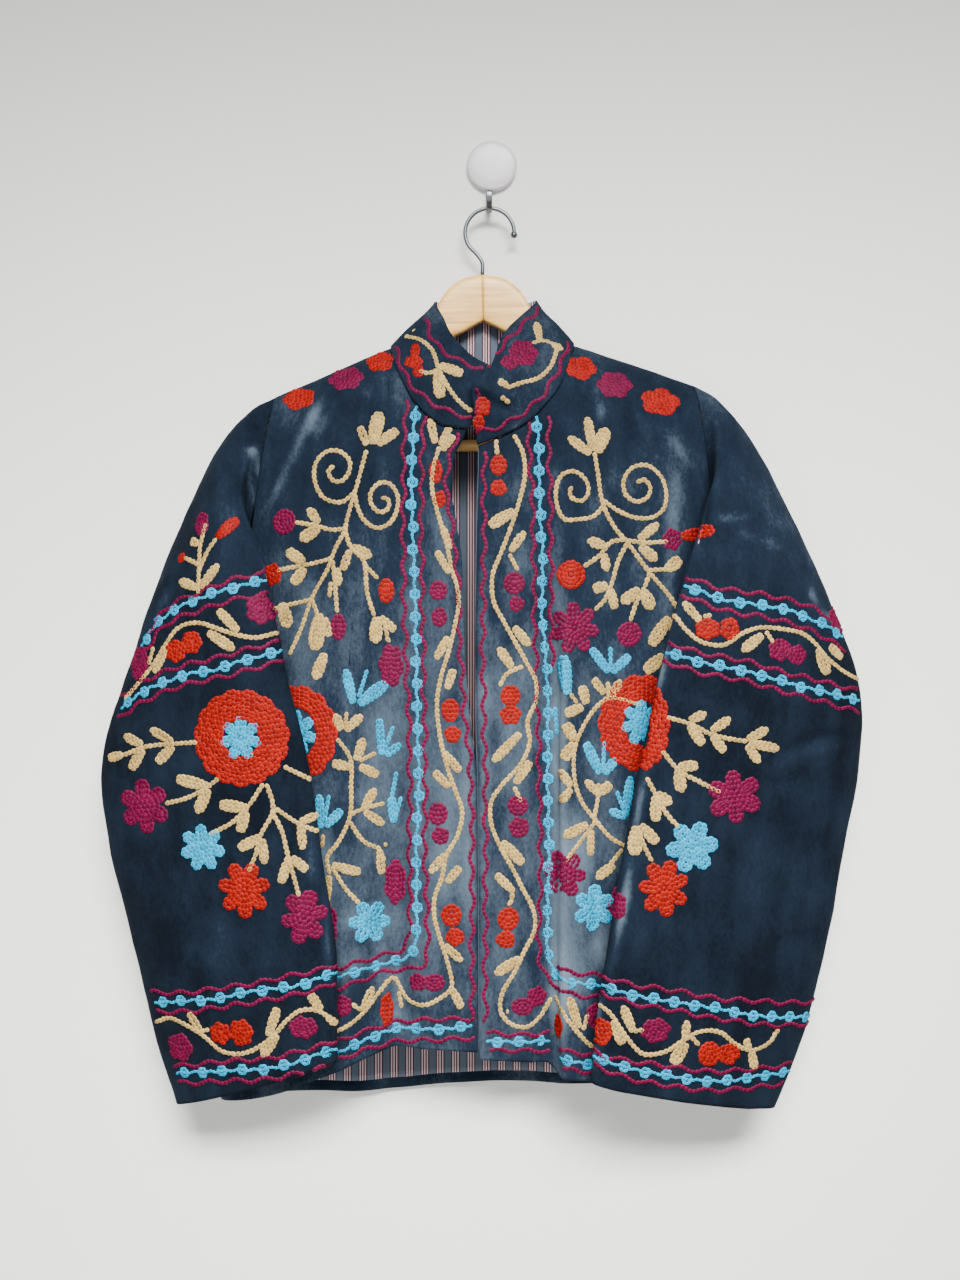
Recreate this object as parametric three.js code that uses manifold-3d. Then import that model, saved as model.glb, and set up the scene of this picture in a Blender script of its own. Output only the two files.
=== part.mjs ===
// An open-fronted velvet jacket with a stand collar, on a two-armed wooden hanger on a round wall hook.
// Millimetres. +Z is up, +X is to the right of someone facing the jacket, -Y points towards them.
// The wall is the plane y = 0, and the origin is the centre of the wall hook's flat back.
// "right" and "left" in a node's name are the wearer's: the right front is on the side of -X.

import * as THREE from "three";
import Module from "manifold-3d";
import { mergeVertices } from "three/addons/utils/BufferGeometryUtils.js";

const { degToRad, lerp, clamp } = THREE.MathUtils;

// ---------------------------------------------------------------- driving sizes

const velvet = 2.0;
const lining = 1.0;
const seamGap = 0.3;

// The jacket's middle. The armholes: where each meets the shoulder seam, also as a share of the half width.
const middleX = -9;
const underarmZ = -430;
const armholeTopX = { right: -186, left: 174 };
const armholeShare = { right: 0.855, left: 0.884 };
const armholeGap = 1.2;

// Each sheet stops this far short of a side or shoulder seam, as an angle round the section or the crest.
const seamAngle = 0.006;

// Half width and the depth of the front, back and side seam, level by level.
const bodyLevels = [
  { z: -830, half: 226, front: -72, back: -4, side: -27 },
  { z: -620, half: 215, front: -74, back: -3.5, side: -30 },
  { z: -430, half: 206, front: -74, back: -3.5, side: -32 },
  { z: -200, half: 207, front: -72, back: -4, side: -32 },
  { z: -120, half: 207, front: -70, back: -4, side: -32 },
];

// The crest over the hanger: shoulder seams outside the neck, an unseen bridge inside it.
const shoulderLine = [
  { x: -215, z: -221, y: -33 },
  { x: -186, z: -209, y: -32 },
  { x: -162, z: -198.6, y: -30 },
  { x: -124, z: -181.4, y: -26 },
  { x: -86, z: -165, y: -22 },
  { x: -40, z: -150, y: -19 },
  { x: 30, z: -150, y: -19 },
  { x: 70, z: -163, y: -22 },
  { x: 98, z: -172.8, y: -25 },
  { x: 145, z: -189, y: -29 },
  { x: 174, z: -200, y: -32 },
  { x: 200, z: -209, y: -33 },
];

// How far below the crest the cloth takes to reach its full depth.
const frontRounding = 110;
const backRounding = 30;

// How square the body's section is: 0 is an ellipse.
const squareness = 0.35;

const neckPoint = { right: -86, left: 70 };

const rightNeckline = [
  { x: -86, z: -165 },
  { x: -83, z: -181 },
  { x: -75, z: -201 },
  { x: -64, z: -221 },
  { x: -43, z: -239 },
  { x: -20, z: -243 },
  { x: 0, z: -244 },
];
const leftNeckline = [
  { x: -40, z: -262 },
  { x: -13, z: -257 },
  { x: 10, z: -248 },
  { x: 31, z: -236 },
  { x: 46, z: -220 },
  { x: 57, z: -204 },
  { x: 65, z: -182 },
  { x: 70, z: -163 },
];
const backNeckline = [
  { x: -86, z: -165 },
  { x: -70, z: -173 },
  { x: -40, z: -178 },
  { x: 24, z: -178 },
  { x: 54, z: -172 },
  { x: 70, z: -163 },
];

// The front edges, from the neck to the hem. They part at the chest and meet lower down.
const frontEdges = [
  { z: -790, right: -11.9, left: -10.6 },
  { z: -534, right: -13.2, left: -11.9 },
  { z: -490, right: -17.7, left: -13.2 },
  { z: -425, right: -23, left: -14.2 },
  { z: -365, right: -24.6, left: -13.4 },
  { z: -312, right: -31, left: -12.4 },
  { z: -297, right: -34, left: -12 },
  { z: -267, right: -31.5, left: -11.2 },
  { z: -243, right: -22, left: -11 },
  { z: -150, right: -18, left: -11 },
];

const rightFrontHem = [
  { x: -236, z: -813 },
  { x: -180, z: -798 },
  { x: -128, z: -775 },
  { x: -92, z: -761 },
  { x: -78, z: -757 },
  { x: -11, z: -760 },
];
const leftFrontHem = [
  { x: -12, z: -766 },
  { x: 46, z: -770 },
  { x: 56, z: -780 },
  { x: 81, z: -784 },
  { x: 150, z: -801 },
  { x: 218, z: -813 },
];
const backHem = [
  { x: -236, z: -813.5 },
  { x: -139, z: -813 },
  { x: -83, z: -811.7 },
  { x: -19, z: -805.5 },
  { x: 50, z: -806 },
  { x: 140, z: -810 },
  { x: 218, z: -813.5 },
];

// How far linings end above the hem and inside the front edges. The left front lining shows past its edge.
const liningHem = 9.5;
const liningEdge = { right: 1.2, left: -0.8, back: 0 };

// Where the sheets' columns of points cross the neck and the shoulder seam, and how many rows they have.
const topColumns = {
  right: [-43, -56, -67, -75, -81, -86, -100, -120, -142, -164, -177],
  left: [10, 24, 34, 40, 45, 50, 57, 63, 67, 70, 84, 104, 128, 150, 164],
  back: [-164, -128, -104, -86, -70, -50, -30, -9, 14, 36, 56, 70, 90, 116, 148],
};
const rowCount = { front: 22, back: 20 };
const rowCrowding = { front: 1.25, back: 1.8 };

// The largest folds of the body. A positive depth is a ridge towards the outside. Each starts at its top,
// is at its full depth about half way to its foot, and runs on in the same line.
const rightFrontFolds = [
  { top: -470, topX: -78, foot: -800, footX: -82, width: 17, depth: -9 },
  { top: -520, topX: -118, foot: -830, footX: -132, width: 17, depth: 7 },
  { top: -180, topX: -118, foot: -420, footX: -186, width: 12, depth: 4 },
  { top: -235, topX: -100, foot: -360, footX: -150, width: 15, depth: -4 },
];
const leftFrontFolds = [
  { top: -300, topX: 42, foot: -830, footX: 46, width: 9, depth: -7 },
  { top: -300, topX: 62, foot: -830, footX: 64, width: 12, depth: 6 },
  { top: -180, topX: 95, foot: -400, footX: 160, width: 13, depth: 4 },
  { top: -230, topX: 70, foot: -400, footX: 118, width: 15, depth: -4 },
  { top: -560, topX: 120, foot: -830, footX: 126, width: 18, depth: -6 },
];
const backFolds = [
  { top: -420, topX: -110, foot: -860, footX: -120, width: 24, depth: -6 },
  { top: -380, topX: 60, foot: -860, footX: 66, width: 22, depth: -6 },
  { top: -520, topX: 140, foot: -860, footX: 150, width: 20, depth: -5 },
  { top: -560, topX: -30, foot: -860, footX: -24, width: 22, depth: -5 },
];

// Each sleeve hangs from its armhole. A row holds four lines of the tube at one level:
// the crown (from the shoulder seam), the front, the underarm seam and the back.
const rightSleeveLevels = [
  { crown: [-204, -34, -219], front: [-207, -63, -300], under: [-219, -34, -433], back: [-213, -10, -300] },
  { crown: [-226, -44, -246], front: [-205, -76, -318], under: [-222, -38, -439], back: [-238, -16, -320] },
  { crown: [-242, -64, -296], front: [-192, -86, -346], under: [-225, -44, -448], back: [-261, -27, -352] },
  { crown: [-250, -85, -366], front: [-178, -94, -394], under: [-228, -52, -462], back: [-286, -42, -400] },
  { crown: [-245, -94, -446], front: [-165, -98, -452], under: [-232, -62, -490], back: [-311, -52, -458] },
  { crown: [-245, -93, -522], front: [-149, -98, -520], under: [-237, -64, -538], back: [-330, -52, -526] },
  { crown: [-238, -93, -594], front: [-138, -98, -590], under: [-229, -64, -600], back: [-322, -52, -594] },
  { crown: [-220, -92, -668], front: [-128, -96, -662], under: [-214, -64, -670], back: [-302, -53, -674] },
  { crown: [-204, -91, -740], front: [-127, -94, -722], under: [-202, -65, -744], back: [-282, -54, -758] },
  { crown: [-194, -90, -784], front: [-126, -93, -759], under: [-196, -66, -787], back: [-266, -56, -808] },
];
const leftSleeveLevels = [
  { crown: [190, -34, -210], front: [186, -63, -290], under: [200, -34, -433], back: [196, -10, -296] },
  { crown: [212, -44, -237], front: [179, -76, -306], under: [204, -38, -439], back: [226, -16, -316] },
  { crown: [228, -64, -292], front: [165, -86, -338], under: [207, -44, -448], back: [255, -27, -350] },
  { crown: [234, -85, -362], front: [151, -94, -386], under: [210, -52, -462], back: [285, -42, -398] },
  { crown: [226, -95, -444], front: [135, -98, -446], under: [214, -61, -490], back: [309, -52, -454] },
  { crown: [218, -94, -520], front: [119, -98, -520], under: [213, -63, -538], back: [309, -52, -522] },
  { crown: [206, -93, -592], front: [106, -98, -590], under: [204, -64, -598], back: [297, -52, -592] },
  { crown: [192, -92, -664], front: [94, -96, -664], under: [190, -64, -668], back: [283, -53, -666] },
  { crown: [174, -91, -740], front: [83, -94, -734], under: [174, -67, -742], back: [262, -54, -750] },
  { crown: [160, -90, -796], front: [81, -93, -778], under: [160, -68, -796], back: [238, -56, -811] },
];
const sleeveSides = 28;
const sleeveRings = 20;

// The collar is a straight band, set on the neck edge. A row holds where it stands and its upper edge.
const collarRows = [
  { sheet: "right", x: -18.5, top: [-1, -70, -190] },
  { sheet: "right", x: -43, top: [-15, -66, -182] },
  { sheet: "right", x: -64, top: [-26, -60, -171] },
  { sheet: "right", x: -75, top: [-35, -50, -158] },
  { sheet: "right", x: -82.5, top: [-42, -37, -141] },
  { sheet: "right", x: -85.8, top: [-49, -22, -123] },
  { sheet: "back", x: -72, top: [-50, -9, -113] },
  { sheet: "back", x: -40, top: [-36, -5, -121] },
  { sheet: "back", x: -9, top: [-9, -4.5, -122] },
  { sheet: "back", x: 24, top: [24, -5, -121] },
  { sheet: "back", x: 56, top: [40, -9, -112] },
  { sheet: "left", x: 69.8, top: [37, -22, -122] },
  { sheet: "left", x: 65.5, top: [24, -38, -141] },
  { sheet: "left", x: 57, top: [13, -54, -155] },
  { sheet: "left", x: 46, top: [7, -66, -167] },
  { sheet: "left", x: 31, top: [2, -76, -184] },
  { sheet: "left", x: 10, top: [-4, -82, -197] },
  { sheet: "left", x: -12.5, top: [-17.5, -85, -205] },
];
const collarGap = 0.6;
const collarBulge = 3;
const collarCentreY = -25;
const collarColumns = 34;
const collarLevels = 4;

// The hanger, in its own frame: x = 0 is its middle, and it is mirrored for the other arm.
const hangerMiddleX = -9.6;
const hangerTilt = -1.3;
const armSections = [
  { x: 0.15, top: -99.5, under: -139.6, depth: -15.5, thick: 12 },
  { x: 14, top: -101.8, under: -147, depth: -15.5, thick: 12 },
  { x: 26, top: -108, under: -153, depth: -15.5, thick: 12 },
  { x: 35, top: -117.5, under: -158, depth: -15.5, thick: 12 },
  { x: 40, top: -127, under: -161, depth: -15.5, thick: 12 },
  { x: 44, top: -139, under: -163, depth: -15.6, thick: 12 },
  { x: 54, top: -158, under: -170, depth: -18.5, thick: 12 },
  { x: 64, top: -168.5, under: -179, depth: -20.5, thick: 12 },
  { x: 76, top: -174, under: -190, depth: -22, thick: 12 },
  { x: 120, top: -189.5, under: -212, depth: -26.5, thick: 14 },
  { x: 157.9, top: -204, under: -235, depth: -29.5, thick: 20 },
  { x: 158.2, top: -204.2, under: -262, depth: -29.5, thick: 20 },
  { x: 176, top: -214, under: -264, depth: -31, thick: 20 },
  { x: 187, top: -228, under: -260, depth: -32, thick: 18 },
  { x: 192, top: -240, under: -252, depth: -32, thick: 12 },
];
const armChamfer = 3;
const bar = { diameter: 10, z: -250, depth: -29.5, reach: 157.5 };
const hookWire = 3.4;
const crook = { x: 7.2, z: -62.5, radius: 21.4, tip: -6, turn: 232 };
const hookTipBall = 6;
const hookStem = { bend: -88, foot: -99.1 };

const disc = { diameter: 44, thick: 8, edge: 5 };
const prong = { width: 5, thick: 1.4, x: -2.4, loop: 9.8, top: -22.4, lip: -30 };

// ---------------------------------------------------------------- reading the tables

// A smooth curve through one column of a table, held level beyond its ends.
function readColumn(rows, key, column) {
  const sorted = [...rows].sort((a, b) => a[key] - b[key]);
  const keys = sorted.map((row) => row[key]);
  const values = sorted.map((row) => row[column]);
  const last = keys.length - 1;
  const slopeOf = (a, b) => (values[b] - values[a]) / (keys[b] - keys[a]);
  const slopes = keys.map((_, i) => {
    if (i === 0) return slopeOf(0, 1);
    if (i === last) return slopeOf(last - 1, last);
    const before = slopeOf(i - 1, i);
    const after = slopeOf(i, i + 1);
    return before * after <= 0 ? 0 : (2 * before * after) / (before + after);
  });
  return (at) => {
    const held = clamp(at, keys[0], keys[last]);
    let i = 1;
    while (i < last && keys[i] < held) i += 1;
    const span = keys[i] - keys[i - 1];
    const f = (held - keys[i - 1]) / span;
    const rise = f * f * (3 - 2 * f);
    const leave = f * (1 - f) * (1 - f) * span * slopes[i - 1];
    const arrive = f * f * (1 - f) * span * slopes[i];
    return lerp(values[i - 1], values[i], rise) + leave - arrive;
  };
}

const body = {
  half: readColumn(bodyLevels, "z", "half"),
  front: readColumn(bodyLevels, "z", "front"),
  back: readColumn(bodyLevels, "z", "back"),
  side: readColumn(bodyLevels, "z", "side"),
};
const crest = {
  z: readColumn(shoulderLine, "x", "z"),
  y: readColumn(shoulderLine, "x", "y"),
};

// ---------------------------------------------------------------- walls from a grid of points

// points[column][row] with an outward normal at each. The wall lies between two offsets along it.
function gridWall(points, normals, outer, inner, closed) {
  const columns = points.length;
  const rows = points[0].length;
  const vertices = [];
  const faces = [];
  for (const offset of [outer, inner]) {
    for (let c = 0; c < columns; c += 1) {
      for (let r = 0; r < rows; r += 1) {
        const p = points[c][r].clone().addScaledVector(normals[c][r], offset);
        vertices.push(p.x, p.y, p.z);
      }
    }
  }
  const out = (c, r) => (c % columns) * rows + r;
  const into = (c, r) => columns * rows + (c % columns) * rows + r;
  const quad = (a, b, c, d) => faces.push(a, b, c, a, c, d);
  const lastColumn = closed ? columns : columns - 1;
  for (let c = 0; c < lastColumn; c += 1) {
    for (let r = 0; r < rows - 1; r += 1) {
      quad(out(c, r), out(c + 1, r), out(c + 1, r + 1), out(c, r + 1));
      quad(into(c, r), into(c, r + 1), into(c + 1, r + 1), into(c + 1, r));
    }
    quad(out(c, 0), into(c, 0), into(c + 1, 0), out(c + 1, 0));
    quad(out(c, rows - 1), out(c + 1, rows - 1), into(c + 1, rows - 1), into(c, rows - 1));
  }
  if (!closed) {
    const end = columns - 1;
    for (let r = 0; r < rows - 1; r += 1) {
      quad(out(0, r), out(0, r + 1), into(0, r + 1), into(0, r));
      quad(out(end, r), into(end, r), into(end, r + 1), out(end, r + 1));
    }
  }
  return facingOut(vertices, faces);
}

// A geometry whose faces point outwards, whichever way its grid ran.
function facingOut(vertices, faces) {
  const corner = (i) => new THREE.Vector3(vertices[3 * i], vertices[3 * i + 1], vertices[3 * i + 2]);
  let volume = 0;
  for (let i = 0; i < faces.length; i += 3) {
    const a = corner(faces[i]);
    volume += a.dot(corner(faces[i + 1]).cross(corner(faces[i + 2])));
  }
  if (volume < 0) faces.reverse();
  const geometry = new THREE.BufferGeometry();
  geometry.setAttribute("position", new THREE.Float32BufferAttribute(vertices, 3));
  geometry.setIndex(faces);
  geometry.computeVertexNormals();
  return geometry;
}

// The wall of a sheet given as a function of two shares, s across and t up. The sign turns its normals out.
function sheetWall(surface, sign, columns, rows, outer, inner) {
  const step = 1e-4;
  const points = columns.map((s) => rows.map((t) => surface(s, t)));
  const normals = columns.map((s) =>
    rows.map((t) => {
      const across = surface(s + step, t).sub(surface(s - step, t));
      const along = surface(s, t + step).sub(surface(s, t - step));
      return across.cross(along).multiplyScalar(sign).normalize();
    }),
  );
  return gridWall(points, normals, outer, inner, false);
}

const evenly = (count, from = 0, to = 1) =>
  Array.from({ length: count + 1 }, (_, i) => lerp(from, to, i / count));
const crowdedAtTop = (count, power) => evenly(count).map((share) => 1 - (1 - share) ** power);

// ---------------------------------------------------------------- the body's three sheets

// A sheet is laid out by an angle round the body's section and a parameter q down from the crest:
// q is an angle while the cloth rounds the crest, and a length in roundings after that.
function belowCrest(q, rounding) {
  return q < Math.PI / 2 ? rounding * (1 - Math.cos(q)) : rounding * (1 + q - Math.PI / 2);
}
function crestParameter(distance, rounding) {
  const d = Math.max(distance, 0);
  return d < rounding ? Math.acos(1 - d / rounding) : Math.PI / 2 + (d - rounding) / rounding;
}
const outFromCrest = (q) => (q < Math.PI / 2 ? Math.sin(q) : 1);
const roundingOf = (kind) => (kind === "back" ? backRounding : frontRounding);

// The angle at which a sheet ends on the wearer's right or left: 90 degrees at the side seam,
// less along the armhole.
function sideAngle(z, side) {
  const shoulderZ = crest.z(armholeTopX[side]);
  const up = clamp((z - underarmZ) / (shoulderZ - underarmZ), 0, 1);
  return Math.asin(1 - (1 - armholeShare[side]) * up ** 1.3);
}

function foldDepth(folds, x, z) {
  let depth = 0;
  for (const fold of folds) {
    const down = (fold.top - z) / (fold.top - fold.foot);
    if (down <= 0) continue;
    const middle = lerp(fold.topX, fold.footX, down);
    const strength = Math.sin((Math.PI / 2) * Math.min(1, 2.2 * down));
    depth += fold.depth * strength * Math.exp(-(((x - middle) / fold.width) ** 2));
  }
  return depth;
}

const foldsOf = { right: rightFrontFolds, left: leftFrontFolds, back: backFolds };
const fullDepthOf = { right: body.front, left: body.front, back: body.back };
const outwards = { right: -1, left: -1, back: 1 };

// angleAt gives the angle at a level, negative on the wearer's right.
function bodyPoint(kind, angleAt, q) {
  let x = middleX;
  let z = underarmZ;
  let angle = 0;
  for (let round = 0; round < 6; round += 1) {
    angle = angleAt(z);
    x = middleX + body.half(z) * Math.sin(angle);
    z = crest.z(x) - belowCrest(q, roundingOf(kind));
  }
  const reach = Math.cos(angle) * (1 + squareness * Math.sin(angle) ** 2);
  const fold = foldDepth(foldsOf[kind], x, z) * Math.min(1, Math.abs(reach) * 1.6);
  const full = lerp(body.side(z), fullDepthOf[kind](z), reach) + outwards[kind] * fold;
  return new THREE.Vector3(x, lerp(crest.y(x), full, outFromCrest(q)), z);
}

const edge = {
  right: readColumn(frontEdges, "z", "right"),
  left: readColumn(frontEdges, "z", "left"),
};
const neck = {
  right: readColumn(rightNeckline, "x", "z"),
  left: readColumn(leftNeckline, "x", "z"),
  back: readColumn(backNeckline, "x", "z"),
};
const hem = {
  right: readColumn(rightFrontHem, "x", "z"),
  left: readColumn(leftFrontHem, "x", "z"),
  back: readColumn(backHem, "x", "z"),
};

const insideNeck = (x) => x > neckPoint.right && x < neckPoint.left;
const topOf = (kind, x) => (insideNeck(x) ? neck[kind](x) : crest.z(x));
const angleOfX = (x, z) => Math.asin(clamp((x - middleX) / body.half(z), -1, 1));

// The two angles between which a sheet runs at a level. A lining is trimmed back from them.
function sheetAngles(kind, z, trim) {
  const reach = (side) => sideAngle(z, side) - seamAngle;
  if (kind === "back") return [-reach("right"), reach("left")];
  const away = kind === "right" ? -1 : 1;
  return [angleOfX(edge[kind](z) + away * trim.edge, z), away * reach(kind)];
}

const untrimmed = { hem: 0, edge: 0 };

// A sheet as a function of two shares: s across from its first edge, t up from the hem.
function bodySheet(kind, trim = untrimmed) {
  const angleFor = (s) => (z) => lerp(...sheetAngles(kind, z, trim), s);
  const endsOf = (s) => {
    let top = 0.5;
    let foot = 4;
    for (let round = 0; round < 14; round += 1) {
      const high = bodyPoint(kind, angleFor(s), top);
      const low = bodyPoint(kind, angleFor(s), foot);
      const rounding = roundingOf(kind);
      top = crestParameter(crest.z(high.x) - topOf(kind, high.x), rounding);
      foot = crestParameter(crest.z(low.x) - hem[kind](low.x) - trim.hem, rounding);
    }
    return { top: Math.max(top, seamAngle), foot };
  };
  return (s, t) => {
    const ends = endsOf(s);
    return bodyPoint(kind, angleFor(s), lerp(ends.foot, ends.top, t));
  };
}

// The share across a sheet at which its top edge passes x.
function shareAtTop(kind, x) {
  const z = topOf(kind, x);
  const [from, to] = sheetAngles(kind, z, untrimmed);
  return clamp((angleOfX(x, z) - from) / (to - from), 0, 1);
}

// ---------------------------------------------------------------- sleeves

// A point of the armhole: turn 0 is the shoulder seam, 90 degrees the front, 180 the underarm.
function armholePoint(side, turn) {
  const shoulderZ = crest.z(armholeTopX[side]);
  const z = lerp(underarmZ, shoulderZ, (1 + Math.cos(turn)) / 2);
  const kind = turn <= Math.PI ? side : "back";
  const away = side === "right" ? -1 : 1;
  const angle = away * sideAngle(z, side);
  const x = middleX + body.half(z) * Math.sin(angle);
  const q = crestParameter(crest.z(x) - z, roundingOf(kind));
  return bodyPoint(kind, () => angle, q).add(new THREE.Vector3(away * armholeGap, 0, 0));
}

// A point of a sleeve's section at one level, from its four lines.
function sleeveSectionPoint(level, turn) {
  const point = (name) => new THREE.Vector3(...level[name]);
  const centre = point("front").add(point("back")).multiplyScalar(0.5);
  const across = point(Math.sin(turn) >= 0 ? "front" : "back").sub(centre);
  const face = point(Math.cos(turn) >= 0 ? "crown" : "under").sub(centre);
  return centre
    .addScaledVector(across, Math.abs(Math.sin(turn)))
    .addScaledVector(face, Math.abs(Math.cos(turn)));
}

function sleeve(side, levels) {
  const turns = evenly(sleeveSides).slice(0, -1).map((share) => share * 2 * Math.PI);
  const points = turns.map((turn) => {
    const guides = [armholePoint(side, turn), ...levels.map((level) => sleeveSectionPoint(level, turn))];
    const line = new THREE.CatmullRomCurve3(guides, false, "centripetal");
    return evenly(sleeveRings).map((share) => line.getPoint(share));
  });
  return gridWall(points, gridNormals(points, side === "right" ? -1 : 1), 0, -velvet, true);
}

// Normals of a grid that closes on itself across its columns, from its neighbours.
function gridNormals(points, sign) {
  const columns = points.length;
  const last = points[0].length - 1;
  return points.map((line, c) =>
    line.map((_, r) => {
      const across = points[(c + 1) % columns][r].clone().sub(points[(c + columns - 1) % columns][r]);
      const along = line[Math.min(r + 1, last)].clone().sub(line[Math.max(r - 1, 0)]);
      return across.cross(along).multiplyScalar(sign).normalize();
    }),
  );
}

// ---------------------------------------------------------------- collar

// Where the collar stands: on the neck edge of its sheet, just outside the cloth.
function collarFoot(row) {
  const z = neck[row.sheet](row.x);
  const angle = angleOfX(row.x, z);
  const q = crestParameter(crest.z(row.x) - z, roundingOf(row.sheet));
  const at = (turn, down) => bodyPoint(row.sheet, () => angle + turn, q + down);
  const step = 1e-3;
  const across = at(step, 0).sub(at(-step, 0));
  const down = at(0, step).sub(at(0, -step));
  const out = across.cross(down).normalize();
  if (row.sheet !== "back") out.negate();
  return at(0, 0).addScaledVector(out, velvet + collarGap).add(new THREE.Vector3(0, 0, collarGap));
}

function collar() {
  const feet = new THREE.CatmullRomCurve3(collarRows.map(collarFoot), false, "centripetal");
  const tops = new THREE.CatmullRomCurve3(
    collarRows.map((row) => new THREE.Vector3(...row.top)),
    false,
    "centripetal",
  );
  const surface = (s, t) => {
    const foot = feet.getPoint(clamp(s, 0, 1));
    const top = tops.getPoint(clamp(s, 0, 1));
    const centre = new THREE.Vector3(middleX, collarCentreY, foot.z);
    const out = foot.clone().sub(centre).setZ(0).normalize();
    const bulge = collarBulge * (1 - Math.max(out.y, 0)) * Math.sin(Math.PI * t);
    return foot.lerp(top, t).addScaledVector(out, bulge);
  };
  return sheetWall(surface, -1, evenly(collarColumns), evenly(collarLevels), 0, -velvet);
}

// ---------------------------------------------------------------- hanger and wall hook

// A solid through rings of points, closed by a fan at each end.
function loft(rings) {
  const sides = rings[0].length;
  const vertices = rings.flat().flatMap((p) => [p.x, p.y, p.z]);
  const faces = [];
  for (let r = 0; r < rings.length - 1; r += 1) {
    for (let i = 0; i < sides; i += 1) {
      const next = (i + 1) % sides;
      const [a, b, c, d] = [r * sides + i, r * sides + next, (r + 1) * sides + next, (r + 1) * sides + i];
      faces.push(a, b, c, a, c, d);
    }
  }
  const lastRing = (rings.length - 1) * sides;
  for (let i = 1; i < sides - 1; i += 1) {
    faces.push(0, i + 1, i);
    faces.push(lastRing, lastRing + i, lastRing + i + 1);
  }
  return facingOut(vertices, faces);
}

function hangerArm(sign) {
  const rings = armSections.map(({ x, top, under, depth, thick }) => {
    const back = depth + thick / 2;
    const front = depth - thick / 2;
    const cut = Math.min(armChamfer, thick / 3);
    const outline = [
      [back, under + cut],
      [back, top - cut],
      [back - cut, top],
      [front + cut, top],
      [front, top - cut],
      [front, under + cut],
      [front + cut, under],
      [back - cut, under],
    ];
    return outline.map(([y, z]) => new THREE.Vector3(sign * x, y, z));
  });
  return loft(rings);
}

function hangerBar() {
  const geometry = new THREE.CylinderGeometry(bar.diameter / 2, bar.diameter / 2, 2 * bar.reach, 14);
  geometry.rotateZ(Math.PI / 2).translate(0, bar.depth, bar.z);
  return welded(geometry);
}

// A geometry with its shared corners merged and its faces pointing out.
function welded(geometry) {
  geometry.deleteAttribute("normal");
  geometry.deleteAttribute("uv");
  const merged = mergeVertices(geometry, 1e-4);
  const index = Array.from(merged.index.array);
  const faces = [];
  for (let i = 0; i < index.length; i += 3) {
    const [a, b, c] = index.slice(i, i + 3);
    if (a !== b && b !== c && c !== a) faces.push(a, b, c);
  }
  return facingOut(Array.from(merged.attributes.position.array), faces);
}

const wasm = await Module();
wasm.setup();

function toSolid(geometry) {
  return new wasm.Manifold(
    new wasm.Mesh({
      numProp: 3,
      vertProperties: new Float32Array(geometry.attributes.position.array),
      triVerts: new Uint32Array(geometry.index.array),
    }),
  );
}
function toGeometry(solid) {
  const mesh = solid.getMesh();
  return facingOut(Array.from(mesh.vertProperties), Array.from(mesh.triVerts));
}

// The hanger's hook: most of a circle, then a bend back to the stem.
function hangerHook() {
  const depth = armSections[0].depth;
  const onCrook = (degrees) =>
    new THREE.Vector3(
      crook.x + crook.radius * Math.cos(degToRad(degrees)),
      depth,
      crook.z + crook.radius * Math.sin(degToRad(degrees)),
    );
  const arc = evenly(16, crook.tip, crook.turn).map(onCrook);
  const stem = [new THREE.Vector3(0, depth, hookStem.bend), new THREE.Vector3(0, depth, hookStem.foot)];
  const path = new THREE.CatmullRomCurve3([...arc, ...stem], false, "centripetal");
  const section = new THREE.Shape().absarc(0, 0, hookWire / 2, 0, 2 * Math.PI);
  const options = { extrudePath: path, steps: 36, curveSegments: 4, bevelEnabled: false };
  const wire = toSolid(welded(new THREE.ExtrudeGeometry(section, options)));
  const ball = new THREE.SphereGeometry(hookTipBall / 2, 10, 8);
  ball.translate(arc[0].x, depth, arc[0].z);
  return toGeometry(wire.add(toSolid(welded(ball))));
}

function wallHookDisc() {
  const radius = disc.diameter / 2;
  const profile = [
    [0, 0],
    [radius, 0],
    [radius, -disc.edge],
    [radius * 0.94, -disc.edge - 1.7],
    [radius * 0.7, -disc.thick + 0.4],
    [0, -disc.thick],
  ];
  const points = profile.map(([r, y]) => new THREE.Vector2(r, y));
  return welded(new THREE.LatheGeometry(points, 40));
}

// The prong: a strip down from the disc, round under the hanger's hook and up to a lip.
function wallHookProng() {
  const depth = armSections[0].depth;
  const inner = prong.loop;
  const outer = inner + prong.thick;
  const restZ = crook.z + crook.radius - hookWire / 2 - seamGap;
  const centreZ = restZ + inner;
  const outline = new THREE.Shape();
  outline.moveTo(depth + outer, prong.top);
  outline.lineTo(depth + outer, centreZ);
  outline.absarc(depth, centreZ, outer, 0, -Math.PI, true);
  outline.lineTo(depth - outer, prong.lip);
  outline.lineTo(depth - inner, prong.lip);
  outline.lineTo(depth - inner, centreZ);
  outline.absarc(depth, centreZ, inner, -Math.PI, 0, false);
  outline.lineTo(depth + inner, prong.top);
  outline.closePath();
  const options = { depth: prong.width, bevelEnabled: false, curveSegments: 12 };
  const geometry = new THREE.ExtrudeGeometry(outline, options);
  // The outline was drawn as (y, z): its first axis turns to +Y and its second to +Z.
  geometry.applyMatrix4(
    new THREE.Matrix4().makeBasis(
      new THREE.Vector3(0, 1, 0),
      new THREE.Vector3(0, 0, 1),
      new THREE.Vector3(1, 0, 0),
    ),
  );
  geometry.translate(prong.x - prong.width / 2, 0, 0);
  return welded(geometry);
}

// ---------------------------------------------------------------- the whole

const finish = (color, roughness, metalness = 0) =>
  new THREE.MeshStandardMaterial({ color, roughness, metalness });
const finishes = {
  velvet: finish(0x2f4259, 0.85),
  lining: finish(0x6a7482, 0.7),
  wood: finish(0xe0c594, 0.55),
  steel: finish(0xa9abad, 0.3, 1),
  plastic: finish(0xf1f1ef, 0.4),
};

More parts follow.
